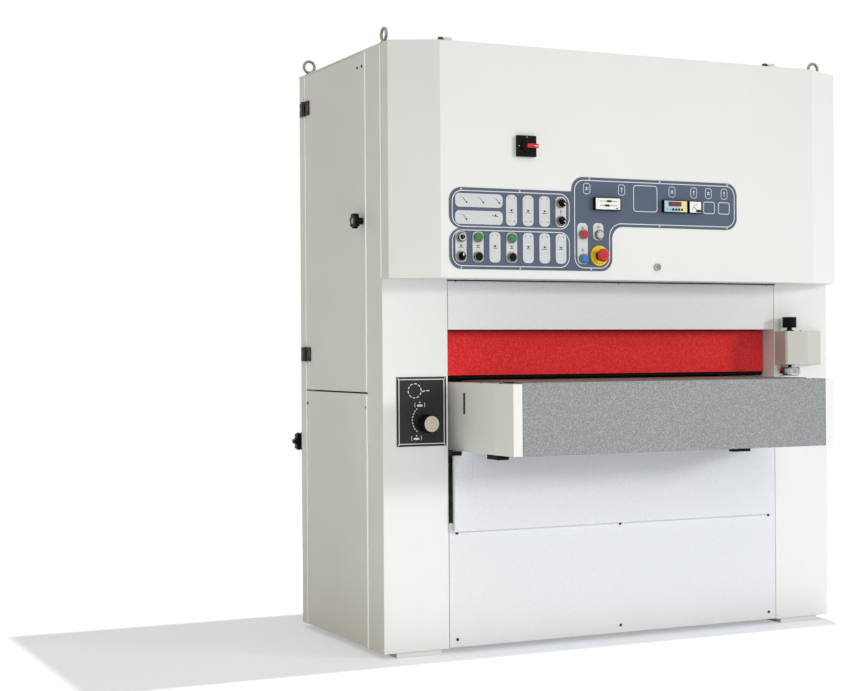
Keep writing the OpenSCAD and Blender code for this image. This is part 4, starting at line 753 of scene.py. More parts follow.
# %% Ammeter
NEEDLE_AT, NEEDLE_TIP, NEEDLE_LINE, NEEDLE_HIGH = (841, 188), (826, 200), 1.1, 0.5
SCALE_R, SCALE_LINE, SCALE_MARK_R, SCALE_MARK_W = 20, 1.0, 22.5, 3.0
SCALE_FROM, SCALE_TO, SCALE_MARK_FROM, SCALE_MARK_STEP = 95, 175, 100, 15
NEEDLE_HUB, HUB_HIGH = (834, 184.5, 18, 8, 3), 0.8
on_ammeter = meter_card("ammeter_card", dial_card, u=809, w=46, depth=10)
needle = bmesh.new()
stroke(needle, arc(NEEDLE_AT, SCALE_R, SCALE_FROM, SCALE_TO, 10), SCALE_LINE, on_ammeter, 0, THIN_PRINT)
for a in range(SCALE_MARK_FROM, SCALE_TO + 1, SCALE_MARK_STEP):
    stroke(needle, arc(NEEDLE_AT, SCALE_MARK_R, a, a + 1, 1), SCALE_MARK_W, on_ammeter, 0, THIN_PRINT)
stroke(needle, [NEEDLE_AT, NEEDLE_TIP], NEEDLE_LINE, on_ammeter, 0, NEEDLE_HIGH)
slab(needle, round_rect(*NEEDLE_HUB), on_ammeter, 0, HUB_HIGH)
piece("ammeter_needle", needle, sign_ink, "hood")
print("ammeter with its scale")

# %% [markdown]
# ## Marks on the switches
# Small white inserts show where a selector points. Each rides on its own selector, so it turns with it. The
# emergency stop has small dark marks on its yellow disc, and two shallow rings on its head for the fingers.
# A mark is a piece of its own, because a printed texture would have to follow the turning part.

# %% Switch marks
def knob_face(name):
    """A drawing face on the outer end of a control, its origin on the control's axis."""
    low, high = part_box(name)
    return face(((low.x + high.x) / 2, low.y, (low.z + high.z) / 2), RIGHT, UP)


def ring_line(bm, at, r, width, low, high):
    frame_line(bm, circle((0, 0), r, 24), circle((0, 0), r - width, 24), at, low, high)


LEVER_TURN, MARK_REACH, LEVER_ROOT, LEVER_LINE = -35, 9.5, 0.15, 2.2
MODE_ROOT, MODE_LINE, MARK_H = 1, 3.4, 0.3
lever_tip = polar(MARK_REACH, LEVER_TURN)
lever_path = [(lever_tip[0] * LEVER_ROOT, lever_tip[1] * LEVER_ROOT), lever_tip]
for name, path, width in (("feed_selector", lever_path, LEVER_LINE),
                          ("lift_selector", lever_path, LEVER_LINE),
                          ("mode_selector", [(0, MODE_ROOT), (0, MARK_REACH)], MODE_LINE)):
    mark = bmesh.new()
    stroke(mark, path, width, knob_face(name), 0, MARK_H)
    piece(name + "_mark", mark, line_ink, name)
on_key = knob_face("key_switch")
KEY_STEP, KEY_RING_R, KEY_RING_W, KEY_RING_H = 6, 10.4, 3.0, 0.4
KEY_SLOT, KEY_SLOT_H = (-0.9, -4, 1.8, 8, 0.8), 0.25
key_ring = bmesh.new()
ring_line(key_ring, on_key, KEY_RING_R, KEY_RING_W, -KEY_STEP, -KEY_STEP + KEY_RING_H)
piece("key_ring", key_ring, line_ink, "key_switch")
slab_piece("key_slot", round_rect(*KEY_SLOT), on_key, 0, KEY_SLOT_H, nickel, "key_switch")
on_cam = knob_face("cam_lock")
SOCKET = ((-5, 0), (0, -6), (5, 0), (0, 6))
PIN = ((2.2, 0.2), (2.2, 0.8), (1.6, 1.2))
# A dark diamond on the lock's face stands for its socket: painted shade of the recess
slab_piece("cam_socket_shade", SOCKET, on_cam, 0, MARK_H, sign_ink, "cam_lock")
cam_pin = bmesh.new()
turned(cam_pin, PIN, (0, 0), on_cam, segments=16)
piece("cam_pin", cam_pin, bright_zinc, "cam_lock")
print("selector, key and lock marks drawn")

# %% Stop button, main switch and lenses
on_stop = knob_face("estop_button")
RING_SUNK = -0.1
FINGER_RINGS, FINGER_W, FINGER_H = (6.5, 8.2), 0.8, 0.35
LENS_RINGS, LENS_W, LENS_H = (9.5, 5.5), 1.3, 0.5
stop_rings = bmesh.new()
for r in FINGER_RINGS:
    ring_line(stop_rings, on_stop, r, FINGER_W, RING_SUNK, FINGER_H)
piece("estop_finger_rings", stop_rings, red_cap, "estop_button")
DISC_H, DISC_MARK_R, DISC_TURNS = 3, 24, (-110, -90, -70)
DISC_MARK = ((-2.2, 1.5), (0, -2.2), (2.2, 1.5))
disc_at = -((panel_low.y - stop_low.y) / MM - DISC_H)
stop_marks = bmesh.new()
for a in DISC_TURNS:
    u, v = polar(DISC_MARK_R, a)
    slab(stop_marks, [(u + du, v + dv) for du, dv in DISC_MARK], on_stop, disc_at, disc_at + THIN_PRINT)
piece("estop_disc_marks", stop_marks, sign_ink, "hood")

# The bar sticks out on one side, so the switch's axis is half its disc's width from the left
handle_r = (handle_high.z - handle_low.z) / 2
on_switch = face((handle_low.x + handle_r, handle_low.y, handle_low.z + handle_r), RIGHT, UP)
SWITCH_BOX_AT, TICK_R, TICK_L, TICK_LINE, TICK_H = -14.5, 24, 4, 1.6, 0.25
POINTER, POINTER_LINE = ((16, 0), (28, 0)), 1.8
ticks, pointer = bmesh.new(), bmesh.new()
for a in (0, 90, 180):
    stroke(ticks, [polar(TICK_R, a), polar(TICK_R + TICK_L, a)], TICK_LINE, on_switch, SWITCH_BOX_AT,
           SWITCH_BOX_AT + TICK_H)
piece("main_switch_ticks", ticks, line_ink, "hood")
stroke(pointer, POINTER, POINTER_LINE, on_switch, 0, TICK_H)
piece("main_switch_pointer", pointer, line_ink, "isolator_handle")
for name, material in (("reset_button", red_cap), ("light_button", clear_cap)):
    lens = bmesh.new()
    for r in LENS_RINGS:
        ring_line(lens, knob_face(name), r, LENS_W, RING_SUNK, LENS_H)
    piece(name + "_lens", lens, material, name)
print("stop button, lenses and main switch marked")

# %% [markdown]
# ## Plate and knob on the left column
# The charcoal plate has a white frame line and a run of dashes that stands for slow to fast. The knob is a
# black ribbed cup with a beige insert. The ribs could be a bump, but they show on the knob's outline, so
# they are real: thin bars set round the cup.

# %% Column plate print
plate_low, plate_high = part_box("column_plate")
on_plate = face(plate_low, RIGHT, UP)
plate_w, plate_h = (plate_high.x - plate_low.x) / MM, (plate_high.z - plate_low.z) / MM
PLATE_INK = (on_plate, INK_FROM, INK_TO)
PLATE_IN, PLATE_R, DASH_LINE = 6, 4, 2.6
RING_AT, RING_R, RING_STEP, RING_DASH = (57, 161), 20.5, 36, 22
TAIL = ([(80, 158), (90, 161)], [(94, 161), (104, 161)])
SCALE_AT, SPEED_R, SPEED_FROM, SPEED_STEP, SPEED_DASH, SPEED_LINE = (92, 76), 43, 128, 12, 7, 2.8
SPEED_DASHES, END_SPOTS, END_DOT_R = 9, ((73, 121), (62, 25)), 2.2
PILL_W, PILL_H, PILL_R = 18, 6, 2.9
WAVE_R, WAVE_DROP, WAVE_FROM, WAVE_TO = 16, 1, 65, 115
plate_print = bmesh.new()
line_rect(plate_print, on_plate, PLATE_IN, PLATE_IN, plate_w - 2 * PLATE_IN, plate_h - 2 * PLATE_IN,
          PLATE_R, LINE)
for a in range(0, 360, RING_STEP):
    stroke(plate_print, arc(RING_AT, RING_R, a, a + RING_DASH, 3), DASH_LINE, *PLATE_INK)
for path in TAIL:
    stroke(plate_print, path, DASH_LINE, *PLATE_INK)
for n in range(SPEED_DASHES):
    a = SPEED_FROM + n * SPEED_STEP
    stroke(plate_print, arc(SCALE_AT, SPEED_R, a, a + SPEED_DASH, 2), SPEED_LINE, *PLATE_INK)
# A pill under a dot between two arcs, at the fast and the slow end
for u, v in END_SPOTS:
    slab(plate_print, round_rect(u - PILL_W / 2, v - PILL_H, PILL_W, PILL_H, PILL_R), *PLATE_INK)
    slab(plate_print, circle((u, v + PILL_H), END_DOT_R, 12), *PLATE_INK)
    for s in (-1, 1):
        wave = arc((u, v - WAVE_DROP), WAVE_R, 90 - s * WAVE_FROM, 90 - s * WAVE_TO, 5)
        stroke(plate_print, wave, THIN, *PLATE_INK)
piece("column_plate_print", plate_print, line_ink, "frame")
print("plate", round(plate_w), "x", round(plate_h), "mm")

# %% Speed knob grip
on_knob = knob_face("speed_knob")
KNOB_R = (speed_high.x - speed_low.x) / 2 / MM
GRIP_LOW, GRIP_HIGH, RIBS, RIB_IN, RIB_OUT, RIB_W = -42, -5, 30, KNOB_R - 1, KNOB_R + 1, 2.2
SKIRT_R, SKIRT_H, SKIRT_TOP = KNOB_R + 1.6, 6, 8
grip = bmesh.new()
for n in range(RIBS):
    a = 360 * n / RIBS
    stroke(grip, [polar(RIB_IN, a), polar(RIB_OUT, a)], RIB_W, on_knob, GRIP_LOW, GRIP_HIGH)
turned(grip, [(RIB_IN, GRIP_LOW), (SKIRT_R, GRIP_LOW), (SKIRT_R, GRIP_LOW + SKIRT_H),
              (RIB_IN, GRIP_LOW + SKIRT_TOP)], (0, 0), on_knob, segments=48, hollow=True)
piece("speed_knob_grip", grip, black_moulding, "speed_knob")
print("ribs on the speed knob:", RIBS)

# %% [markdown]
# ## Screws
# Button-head screws hold the covers. They are 8 to 10 mm across, only three pixels wide here, yet a machine
# without them looks like a drawing. One lathe profile makes them all: a domed head with a socket sunk in
# it. Each group is one object, because copies that never move apart have no need of their own.

# %% Screw groups
HEAD = ((1.0, 0.0), (1.0, 0.22), (0.86, 0.42), (0.62, 0.55), (0.46, 0.58), (0.44, 0.2), (0.02, 0.18))


def screws(name, at, spots, body, radius=4.6, material=black_oxide):
    """Screw heads of one radius at some spots of a face."""
    group = bmesh.new()
    for spot in spots:
        turned(group, [(r * radius, h * radius) for r, h in HEAD], spot, at, segments=20)
    piece(name, group, material, body)


FLOOR_GAP = 15 * MM
on_front = face((-SIDE_X, FRONT_Y, FLOOR_GAP), RIGHT, UP)
on_rear = face((SIDE_X, BACK_Y, FLOOR_GAP), -RIGHT, UP)
BODY_W, BODY_D = 2 * SIDE_X / MM, (BACK_Y - FRONT_Y) / MM
COVER_US = (234, BODY_W / 2, BODY_W - 236)
COVER_VS, PANEL_V, REAR_VS, CORNER_IN = (336, 25), 1072, (955, 1330, 1722), 5
FILM_SPOTS = ((37, 229), (227, 229), (462, 273.5), (709, 273.5), (956, 273.5), (708, 139), (954, 139),
              (466, 4.5), (228, 4), (37, 4))
screws("panel_screws", on_panel, FILM_SPOTS, "hood", radius=3.2, material=bright_zinc)
screws("lower_cover_screws", on_front, [(u, v) for u in COVER_US for v in COVER_VS], "frame")
screws("upper_panel_screws", on_front, [(u, PANEL_V) for u in COVER_US], "frame", radius=3.4,
       material=bright_zinc)
screws("rear_cover_screws", on_rear, [(u, v) for u in COVER_US for v in COVER_VS + REAR_VS], "frame")
screws("plate_screws", on_plate, [(u, v) for u in (CORNER_IN, plate_w - CORNER_IN)
                                  for v in (CORNER_IN, plate_h - CORNER_IN)], "frame", radius=2.6,
       material=bright_zinc)
print("front and rear screws set")

# %% Side and top screws
SIDES = (("left", face((-SIDE_X, FRONT_Y, FLOOR_GAP), -BACK, UP), -1),
         ("right", face((SIDE_X, FRONT_Y, FLOOR_GAP), BACK, UP), 1))
on_top = face((0, 0, column_high.z), RIGHT, BACK)
DOOR_FRONT, SEAM, SIDE_V, SIDE_US = 113, 606, 706, (122, 598)
HINGE_VS, LEAF, LEAF_HALF, FRAME_LEAF, DOOR_LEAF = (862, 1646), 5, 14, (38, 21), (62, 79)
DOOR_TOP_US, DOOR_TOP_V = (139, 173), 1710
LID_SPOTS = ((690, 300), (200, 300), (770, 0))
for side, at, sign in SIDES:
    screws(side + "_cover_screws", at, [(sign * u, SIDE_V) for u in SIDE_US], "frame")
    on_leaf = lambda u, v, w, at=at: at(u, v, w + LEAF)
    for half, ins, body in (("frame", FRAME_LEAF, "frame"), ("door", DOOR_LEAF, side + "_door")):
        spots = [(sign * (BODY_D - u), v + dv) for u in ins for v in HINGE_VS
                 for dv in (-LEAF_HALF, LEAF_HALF)]
        screws(f"{side}_{half}_hinge_screws", on_leaf, spots, body, radius=3.6, material=black_coat)
    screws(side + "_door_screws", at, [(sign * u, DOOR_TOP_V) for u in DOOR_TOP_US], side + "_door",
           radius=4.2, material=black_coat)
screws("top_cover_screws", on_top, [(sx * x, sy * y) for x, y in LID_SPOTS for sx in (-1, 1)
                                    for sy in ((-1, 1) if y else (1,))], "frame")

# %% [markdown]
# ## Folded lips along the seams
# Where two sheets meet on a side, the rear one is folded out a few millimetres, and that thin edge catches
# the light from the front as a bright line. It is narrower than a pixel or two, so it could be painted, but
# then it would stay bright in a view from behind. A real lip shades itself from every side. Its coat is
# still a shade lighter than the sheets, as a painted highlight. A flat drip edge closes each side under the
# lid.

# %% Seam lips
LIP_W, LIP_H, LIP_SUNK, LIP_CLEAR = 2.5, 3.5, -0.5, 0.2
folds = []


def lip(name, at, sign, depth, stretches, body, over=0.0, high=LIP_H):
    """A bar behind a seam, which may also reach over the seam's gap to the front."""
    bar = bmesh.new()
    for v1, v2 in stretches:
        for near, far, low in ((depth, depth + LIP_W, LIP_SUNK), (depth - over, depth, LIP_CLEAR)):
            if far > near:
                slab(bar, box_loop(min(sign * near, sign * far), v1, far - near, v2 - v1), at, low, high)
    folds.append(piece(name, bar, painted_highlight_coat, body))


SEAM_OVER, REAR_OVER, REAR_H = 2.2, 1.8, 2.5
DOOR_RUN, COVER_RUN, COLUMN_RUN = [(752, 1751)], [(2, 743)], [(1080, 1750)]
REAR_RUNS = [(2, 836), (888, 1620), (1672, 1750)]
DRIP_IN, DRIP_V, DRIP_H, DRIP_FROM, DRIP_TO = 2, 1751.4, 4.4, -0.3, 1.0
for side, at, sign in SIDES:
    lip(side + "_door_lip", at, sign, DOOR_FRONT, DOOR_RUN, side + "_door", SEAM_OVER)
    lip(side + "_cover_lip", at, sign, DOOR_FRONT, COVER_RUN, "frame", SEAM_OVER)
    lip(side + "_rear_lip", at, sign, SEAM, REAR_RUNS, "frame", REAR_OVER, REAR_H)
    lip(side + "_column_lip", at, sign, 0, COLUMN_RUN, "frame")
    drip_u = min(sign * DRIP_IN, sign * (BODY_D - DRIP_IN))
    slab_piece(side + "_drip_edge", box_loop(drip_u, DRIP_V, BODY_D - 2 * DRIP_IN, DRIP_H), at, DRIP_FROM,
               DRIP_TO, white_coat, "frame")
print("lips on both sides:", len(folds))

# %% [markdown]
# ## Table trim
# Under the table hang black stop blocks, and the front apron has a doubled corner and a black guide in the
# gap to the column. They are plain little parts, but they break up the long straight shadow. The blocks get
# softened edges with a bevel modifier, as a moulded part would have.

# %% Table blocks
side_low, side_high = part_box("table_sides")
under_table = face((0, 0, side_low.z), RIGHT, -BACK)
# Each box: across, towards the front, width, depth and height
BLOCKS = {"left_stop_block": [(-541, 490, 36, 70, 15)],
          "right_stop_block": [(184, 638, 28, 26, 9), (216, 638, 29, 26, 9)],
          "apron_guide": [(-590, 343, 34, 20, 12)]}
BLOCK_R = 3
for name, boxes in BLOCKS.items():
    block = bmesh.new()
    for u, v, w, d, h in boxes:
        slab(block, round_rect(u, v, w, d, BLOCK_R), under_table, 0, h)
    made = piece(name, block, black_moulding, "table")
    made.modifiers.new("moulded edges", "BEVEL").width = MM
print("blocks:", ", ".join(BLOCKS))

# %% Apron corner, slot edge and table screws
apron_low, apron_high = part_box("table_aprons")
on_apron = face(apron_low, RIGHT, UP)
TAB_W, TAB_V, TAB_R, TAB_H = 60, 153, 2, 0.5
slab_piece("apron_corner", round_rect(0, TAB_V, TAB_W, (apron_high.z - apron_low.z) / MM - TAB_V, TAB_R),
           on_apron, 0, TAB_H, speckled_coat, "table")
SLOT_AT, SLOT_V, SLOT_W, SLOT_H, SLOT_EDGE, SLOT_LAP = 46, 111, 7, 58, 2, 0.3
SLOT_R, SLOT_EDGE_R, RIM_FROM, RIM_TO, SHADE_FROM, SHADE_TO = 1, 2, -0.5, 0.8, -1.6, -0.8


def slot_loop(grow, r):
    """The slot's outline, made wider all round."""
    return round_rect(SLOT_AT - SLOT_W / 2 - grow, SLOT_V - grow, SLOT_W + 2 * grow, SLOT_H + 2 * grow, r)


on_slot = face((side_low.x, FRONT_Y, side_low.z), -BACK, UP)
slot_edge = bmesh.new()
frame_line(slot_edge, slot_loop(SLOT_EDGE, SLOT_EDGE_R), slot_loop(0, SLOT_R), on_slot, RIM_FROM, RIM_TO)
# A dark plate just behind the slot makes it read black: painted shade in the slot
slab(slot_edge, slot_loop(SLOT_LAP, SLOT_R), on_slot, SHADE_FROM, SHADE_TO)
piece("slot_edge", slot_edge, black_moulding, "table")
on_table = face((0, 0, side_high.z), RIGHT, BACK)
RAIL_X, RAIL_YS = 542, (320, 460, 580)
screws("table_side_screws", on_table, [(sx * RAIL_X, sy * y) for y in RAIL_YS for sx in (-1, 1)
                                       for sy in (-1, 1)], "table", radius=4.0)
# Thin dark strips where the grey plate meets the table's end lips: painted shade of the closed joint
TABLE_END, JOINT_X, JOINT_W, JOINT_H = -side_low.y, 518.5, 1.2, 200
JOINT_FROM, JOINT_TO = -0.3, 0.15
joint_shade = bmesh.new()
for end, turn in ((-TABLE_END, RIGHT), (TABLE_END, -RIGHT)):
    at = face((0, end, side_low.z), turn, UP)
    for x in (-JOINT_X, JOINT_X):
        slab(joint_shade, box_loop(x - JOINT_W / 2, 0, JOINT_W, JOINT_H), at, JOINT_FROM, JOINT_TO)
piece("table_end_joint_shade", joint_shade, sign_ink, "table")
print("apron corner, slot edge, table screws and joints set")

# %% [markdown]
# ## A rubber lip on the guard, and painted shade under the hood
# A black rubber lip hangs from the guard's lower edge, almost down to the belt. It keeps dust in and lets a
# board pass. From the front it is the black band under the red sheet. A round nose gives it the soft line
# of light that rubber shows, so its section is drawn as a small outline and pulled along the guard. A thin
# black strip under the hood, in its gap to the upper panel, is painted shade: it draws a black line there.

# %% Guard lip and the painted shade under the hood
guard_low, guard_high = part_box("infeed_guard")
GUARD_IN, GUARD_LIP_H, NOSE, GUARD_LAP = 8, 12, 4.5, 0.5
guard_end = face((guard_high.x - GUARD_IN * MM, (guard_low.y + guard_high.y) / 2, guard_low.z), BACK, UP)
guard_long = (guard_high.x - guard_low.x) / MM - 2 * GUARD_IN
lip_section = ([(-NOSE, GUARD_LAP)] + arc((0, NOSE - GUARD_LIP_H), NOSE, 180, 360) + [(NOSE, GUARD_LAP)])
slab_piece("guard_lip", lip_section, guard_end, -guard_long, 0, lip_rubber, "infeed_guard")
hood_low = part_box("hood")[0]
# A black strip in the hood's gap to the upper panel: painted shade where the gap lies in shadow
SHADE_STRIP_W, SHADE_STRIP_H, SHADE_STRIP_GAP, SHADE_STRIP_IN, SHADE_STRIP_LAP, SHADE_STRIP_R = 6, 3.6, 2, 2, 0.3, 1.2
shade_strip_end = face((COLUMN_INNER_X - SHADE_STRIP_IN * MM, FRONT_Y - SHADE_STRIP_GAP * MM, hood_low.z), BACK, UP)
slab_piece("hood_shade_strip", round_rect(-SHADE_STRIP_W, -SHADE_STRIP_H, SHADE_STRIP_W, SHADE_STRIP_H + SHADE_STRIP_LAP, SHADE_STRIP_R), shade_strip_end,
           -2 * (COLUMN_INNER_X / MM - SHADE_STRIP_IN), 0, lip_rubber, "hood")
print("guard lip", round(guard_long), "mm long, and a dark strip of painted shade under the hood")

# %% [markdown]
# ## Gauge trim
# The thickness gauge is a rod through a box, with a black knob above and a chrome foot below. A rubber
# flange closes the hole on top, a washer closes it underneath, and the foot has a thin ring that saves the
# board. They are rings, so each is a closed lathe profile that is joined back to its start.

# %% Gauge rings
gauge_up = face((gauge_x, gauge_y, gauge_high.z), RIGHT, BACK)
gauge_down = face((gauge_x, gauge_y, gauge_low.z), RIGHT, -BACK)
foot_down = face((gauge_x, gauge_y, foot_low.z), RIGHT, -BACK)
# Each ring's section: radius and height of its corners
FLANGE = ((8.4, 0), (15, 0), (15, 2), (13, 3.2), (8.4, 3.2))
WASHER = ((6.6, 0), (14, 0), (14, 1.6), (6.6, 1.6))
FOOT_RING = ((22, 0), (28, 0), (27, 1.4), (23, 1.4))
for name, at, section, body in (("gauge_flange", gauge_up, FLANGE, "frame"),
                                ("gauge_washer", gauge_down, WASHER, "frame"),
                                ("gauge_foot_ring", foot_down, FOOT_RING, "gauge_spindle")):
    ring = bmesh.new()
    turned(ring, section, (0, 0), at, segments=40, hollow=True)
    piece(name, ring, black_moulding, body)
GAUGE_SCREW = (37, -9)
screws("gauge_screws", gauge_up, [GAUGE_SCREW], "frame", radius=4.0, material=black_coat)
print("gauge rings and screw set")

# %% [markdown]
# ## Knob hubs, collar beads and motor ribs
# The hand knobs have a metal hub sunk in their face. The dust collars end in a rolled bead that stiffens
# the thin sheet and keeps a hose clip from slipping off. The gear motor behind the table has cooling rings.
# All are lathe shapes; the beads and rings are hollow ones, laid round what the CAD already has.

# %% Hubs
DOOR_HUB_R, REAR_HUB_R = 8, 11
HUB = ((1.0, -0.5), (1.0, 0.7), (0.82, 1.4), (0.38, 1.4), (0.38, 0.2))


def hub(name, at, r):
    made = bmesh.new()
    turned(made, [(r * share, h) for share, h in HUB], (0, 0), at, segments=24)
    piece(name + "_hub", made, zinc_plate, name)


for name, turn in (("left_door_knob", -1), ("right_door_knob", 1)):
    low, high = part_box(name)
    end = (low.x if turn < 0 else high.x, (low.y + high.y) / 2, (low.z + high.z) / 2)
    hub(name, face(end, BACK * turn, UP), DOOR_HUB_R)
low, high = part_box("rear_knob")
hub("rear_knob", face(((low.x + high.x) / 2, high.y, (low.z + high.z) / 2), -RIGHT, UP), REAR_HUB_R)
print("hubs on three knobs")

# %% Collar beads
BEAD, BEAD_DROP = 2.5, 12
top_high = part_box("top_cover")[1]
on_rim = face((0, 0, top_high.z), RIGHT, BACK)
beads = bmesh.new()
for s in (-1, 1):
    rim = [v.co / MM for v in nodes["top_cover"].data.vertices
           if v.co.z > top_high.z - MM and v.co.x * s > 0]
    left, right = min(c.x for c in rim), max(c.x for c in rim)
    near, far = min(c.y for c in rim), max(c.y for c in rim)
    section = [(r, h - BEAD_DROP) for r, h in arc(((right - left) / 2, 0), BEAD, -90, 90, 8)]
    turned(beads, section, ((left + right) / 2, (near + far) / 2), on_rim, segments=48, hollow=True)
piece("collar_beads", beads, white_coat, "frame")
print("collars", round(right - left), "mm across have their beads")

# %% Gear motor ribs
worm_low, worm_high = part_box("conveyor_gearmotor")
MOTOR_R, MOTOR_IN, COOL_RIBS, COOL_FROM, COOL_PITCH, COOL_W = 45, 49, 9, -18, 10, 3
COOL_IN, COOL_OUT = MOTOR_R - 1, MOTOR_R + 4
END_CAP = ((-2, -12), (3, -10), (3, 0), (-6, 3), (-6, 2))
motor_axis = face((worm_low.x + MOTOR_IN * MM, worm_low.y, (worm_low.z + worm_high.z) / 2), RIGHT, UP)
ribs = bmesh.new()
for n in range(COOL_RIBS):
    w = COOL_FROM - n * COOL_PITCH
    turned(ribs, [(COOL_IN, w - COOL_W), (COOL_OUT, w - COOL_W), (COOL_OUT, w), (COOL_IN, w)], (0, 0),
           motor_axis, segments=40, hollow=True)
turned(ribs, [(MOTOR_R + more, w) for more, w in END_CAP], (0, 0), motor_axis, segments=40)
piece("gearmotor_ribs", ribs, motor_enamel, "table")
print("cooling rings:", COOL_RIBS)

# %% [markdown]
# ## Switchgear
# Behind the hood a plate carries contactors and breakers. Each is a plastic box with screw terminals along
# its upper and lower edge and a lever or a button in the middle. The boxes are CAD; the terminals and
# levers are small enough to be one object each, made by a loop over the same rows and columns.

# %% Switchgear details
on_gear = face((gear_low.x + GEAR_MARGIN, gear_low.y, gear_low.z), RIGHT, UP)
cell_w, cell_h = CELL_W / MM, CELL_H / MM
TERMINALS, TERMINAL_SPREAD, TERMINAL_RISE = 3, 0.22, 0.2
LEVER_W, LEVER_H, LEVER_R, LEVER_OUT = 22, 34, 4, 5
spots = []
levers = {0: bmesh.new(), 1: bmesh.new()}
for i in range(GEAR_COLS):
    for j in range(GEAR_ROWS):
        u, v = (i + 0.5) * cell_w, (j + 0.5) * cell_h
        spots += [(u + (n - 1) * TERMINAL_SPREAD * cell_w, v + s * TERMINAL_RISE * cell_h)
                  for n in range(TERMINALS) for s in (-1, 1)]
        slab(levers[(i + j) % 2], round_rect(u - LEVER_W / 2, v - LEVER_H / 2, LEVER_W, LEVER_H, LEVER_R),
             on_gear, 0, LEVER_OUT)
screws("switchgear_terminals", on_gear, spots, "frame", radius=4.5, material=zinc_plate)
piece("switchgear_levers_dark", levers[0], black_moulding, "frame")
piece("switchgear_levers_pale", levers[1], pale_housing, "frame")
print("terminals:", len(spots))

# %% [markdown]
# ## Camera
# The camera was fitted to the straight edges of the body: it stands left of the middle at chest height and
# looks almost level. Its place is given in millimetres of the frame, and its lens as a focal length in
# pixels of an image 855 pixels wide, which turns into millimetres on Blender's 36 mm sensor.

# %% Camera
IMAGE_W, FOCAL_PX, SENSOR, FAR = 855, 1652.576, 36, 100
CAMERA_AT = Vector((-2684.2, -4674.9, 885.9)) * MM
YAW, PITCH_UP, ROLL = math.radians(25.0932), math.radians(0.1794), math.radians(-0.3792)
camera = bpy.data.objects.new("camera", bpy.data.cameras.new("camera"))
bpy.context.scene.collection.objects.link(camera)
camera.data.sensor_width = SENSOR
camera.data.lens = FOCAL_PX / IMAGE_W * SENSOR
flat_right = Vector((math.cos(YAW), -math.sin(YAW), 0))
flat_ahead = Vector((math.sin(YAW), math.cos(YAW), 0))
ahead = flat_ahead * math.cos(PITCH_UP) + UP * math.sin(PITCH_UP)
level_up = UP * math.cos(PITCH_UP) - flat_ahead * math.sin(PITCH_UP)
across = flat_right * math.cos(ROLL) + level_up * math.sin(ROLL)
upward = level_up * math.cos(ROLL) - flat_right * math.sin(ROLL)
camera.matrix_world = Matrix.Translation(CAMERA_AT) @ Matrix((across, upward, -ahead)).transposed().to_4x4()
camera.data.clip_end = FAR
bpy.context.scene.camera = camera
print("lens", round(camera.data.lens, 2), "mm")

# %% [markdown]
# ## Floor
# A studio sweep is a pale floor that fades into white. Here the floor's shader does the fade: near the
# machine it is a matt surface that takes shadows, and further out it turns into plain white light. A little
# of that light is added everywhere for the camera, which lifts the pale grey to white and leaves the shadow
# a clean light grey.

# %% Floor
FADE_FROM, FADE_TO, FLOOR_SIDE, FLOOR_LIFT = 2.2, 4.0, 40, 0.37
WHITE = (1, 1, 1, 1)


def seen_rays(tree):
    """One for rays from the camera, a mirror or glass, and zero for those that only carry light."""
    seen = add(tree, "LightPath")
    direct = add(tree, "Math", {0: seen.outputs["Is Camera Ray"], 1: seen.outputs["Is Glossy Ray"]},
                 operation="MAXIMUM")
    return add(tree, "Math", {0: direct.outputs[0], 1: seen.outputs["Is Transmission Ray"]},
               operation="MAXIMUM").outputs[0]


floor_mesh = bmesh.new()
bmesh.ops.create_grid(floor_mesh, x_segments=8, y_segments=8, size=FLOOR_SIDE)
floor = bpy.data.objects.new("floor", bpy.data.meshes.new("floor"))
floor_mesh.to_mesh(floor.data)
floor_mesh.free()
bpy.context.scene.collection.objects.link(floor)
floor_paint, tree, shader, place = start("matt studio floor", Roughness=0.9, Base_Color=linear("#bbc0c8"),
                                         Emission_Color=WHITE)
seen = seen_rays(tree)
lift = add(tree, "Math", {0: seen, 1: FLOOR_LIFT}, operation="MULTIPLY")
tree.links.new(lift.outputs[0], shader.inputs["Emission Strength"])
distance = add(tree, "VectorMath", {0: place}, operation="LENGTH").outputs["Value"]
fade = add(tree, "MapRange", {"Value": distance, "From Min": FADE_FROM, "From Max": FADE_TO})
shown = add(tree, "Math", {0: seen, 1: fade.outputs[0]}, operation="MULTIPLY")
white = add(tree, "Emission", {"Color": WHITE, "Strength": 1.0})
blend = add(tree, "MixShader", {0: shown.outputs[0], 1: shader.outputs[0], 2: white.outputs[0]})
tree.links.new(blend.outputs[0], tree.nodes["Material Output"].inputs["Surface"])
floor.data.materials.append(floor_paint)
print("floor fades from", FADE_FROM, "to", FADE_TO, "m")

# %% [markdown]
# ## Light
# The machine stands in a bright hall: one broad low light from the front right, a weaker one from above, two
# soft boxes in front, and pale walls all round, warmer on the left. The world is white to the camera and to
# reflections, and dimmer as a lamp, so that it fills the shadows without washing out the paint. Two lamps
# reach only what they are linked to: one picks out the folded lips, and one high on the right shines on the
# floor alone, where it throws the crisp shadow to the left and adds nothing to the paint.

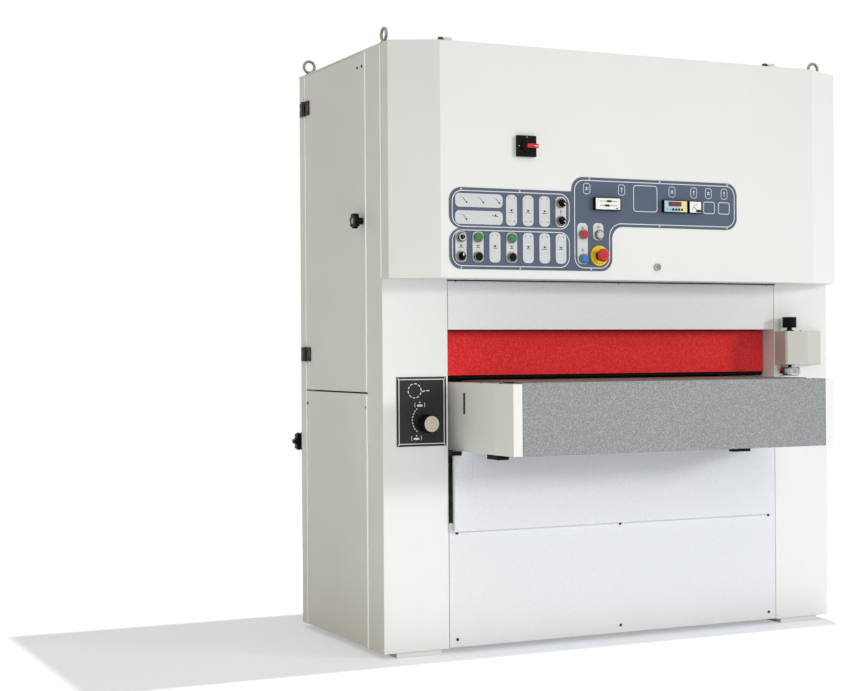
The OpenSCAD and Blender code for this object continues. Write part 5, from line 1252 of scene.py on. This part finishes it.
# %% World
FILL = 0.97
world = bpy.data.worlds.new("studio")
bpy.context.scene.world = world
world.use_nodes = True
tree = world.node_tree
direction = add(tree, "TexCoord").outputs["Generated"]
from_left = add(tree, "SeparateXYZ", {0: direction}).outputs["X"]
sideways = add(tree, "MapRange", {"Value": from_left, "From Min": -1.0, "From Max": 1.0})
walls = add(tree, "Mix", {MIX_FACTOR: sideways.outputs[0], MIX_A: linear("#c6bda3"),
                          MIX_B: linear("#b8babc")}, data_type="RGBA")
fill = add(tree, "Background", {"Color": walls.outputs[MIX_COLOUR], "Strength": FILL})
white = add(tree, "Background", {"Color": WHITE, "Strength": 1.0})
both = add(tree, "MixShader", {0: seen_rays(tree), 1: fill.outputs[0], 2: white.outputs[0]})
tree.links.new(both.outputs[0], tree.nodes["World Output"].inputs["Surface"])
print("world fills with a warm left and a cool right")

# %% Kinds of lamp
def lamp(name, kind, strength, colour="#ffffff", at=(0, 0, 0), towards=(0, 0, -1)):
    """A lamp of some kind at a place, shining in a direction."""
    made = bpy.data.objects.new(name, bpy.data.lights.new(name, kind))
    bpy.context.scene.collection.objects.link(made)
    made.data.energy, made.data.color = strength, linear(colour)[:3]
    made.location = at
    made.rotation_mode = "QUATERNION"
    made.rotation_quaternion = Vector(towards).to_track_quat("-Z", "Y")
    return made


def sun(name, strength, azimuth, height, spread, colour="#ffffff"):
    """A sun that stands this many degrees right of the front and above the floor."""
    a, h = math.radians(azimuth), math.radians(height)
    away = Vector((-math.sin(a) * math.cos(h), math.cos(a) * math.cos(h), -math.sin(h)))
    made = lamp(name, "SUN", strength, colour, towards=away)
    made.data.angle = math.radians(spread)
    return made


def soft_box(name, strength, size, at, aim):
    """A square lamp that lights the machine but can't be seen or reflected itself."""
    made = lamp(name, "AREA", strength, at=at, towards=Vector(aim) - Vector(at))
    made.data.size = size
    made.visible_camera = made.visible_glossy = False


def collect(name, objects):
    """A collection of objects for light linking, which isn't shown in the scene a second time."""
    made = bpy.data.collections.new(name)
    for item in objects:
        made.objects.link(item)
    return made


print("three kinds of lamp")

# %% Lamps
# Reflected in the flat top, a low sun would blind the camera from behind, so only its diffuse light is kept
key = sun("key_light", strength=1.23, azimuth=49, height=12, spread=9, colour="#fcfdff")
key.visible_glossy = False
sun("top_light", strength=0.2, azimuth=0, height=48, spread=30)
soft_box("low_left_light", strength=5.5, size=0.8, at=(-1.4, -2.3, 0.8), aim=(-0.6, -0.35, 0.8))
soft_box("right_light", strength=3.4, size=0.6, at=(0.35, -1.9, 1.1), aim=(0.2, -0.4, 1.05))
fold_lamp = sun("fold_light", strength=0.65, azimuth=-40, height=10, spread=5)
fold_lamp.light_linking.receiver_collection = collect("folds only", folds)
FLOOR_WATTS, FLOOR_LAMP_AT, FLOOR_LAMP_R = 1400, (0.85, -0.11, 5.0), 0.05
BODY_PARTS = ("left_column", "right_column", "left_door", "right_door", "fixed_covers", "rear_cover",
              "top_cover", "dust_hood")
floor_lamp = lamp("floor_light", "POINT", FLOOR_WATTS, at=FLOOR_LAMP_AT)
floor_lamp.data.shadow_soft_size = FLOOR_LAMP_R
floor_lamp.light_linking.receiver_collection = collect("floor only", [floor])
floor_lamp.light_linking.blocker_collection = collect("body only", [nodes[name] for name in BODY_PARTS])
bpy.context.scene.view_settings.view_transform = "Standard"
print("lamps:", len(bpy.data.lights))
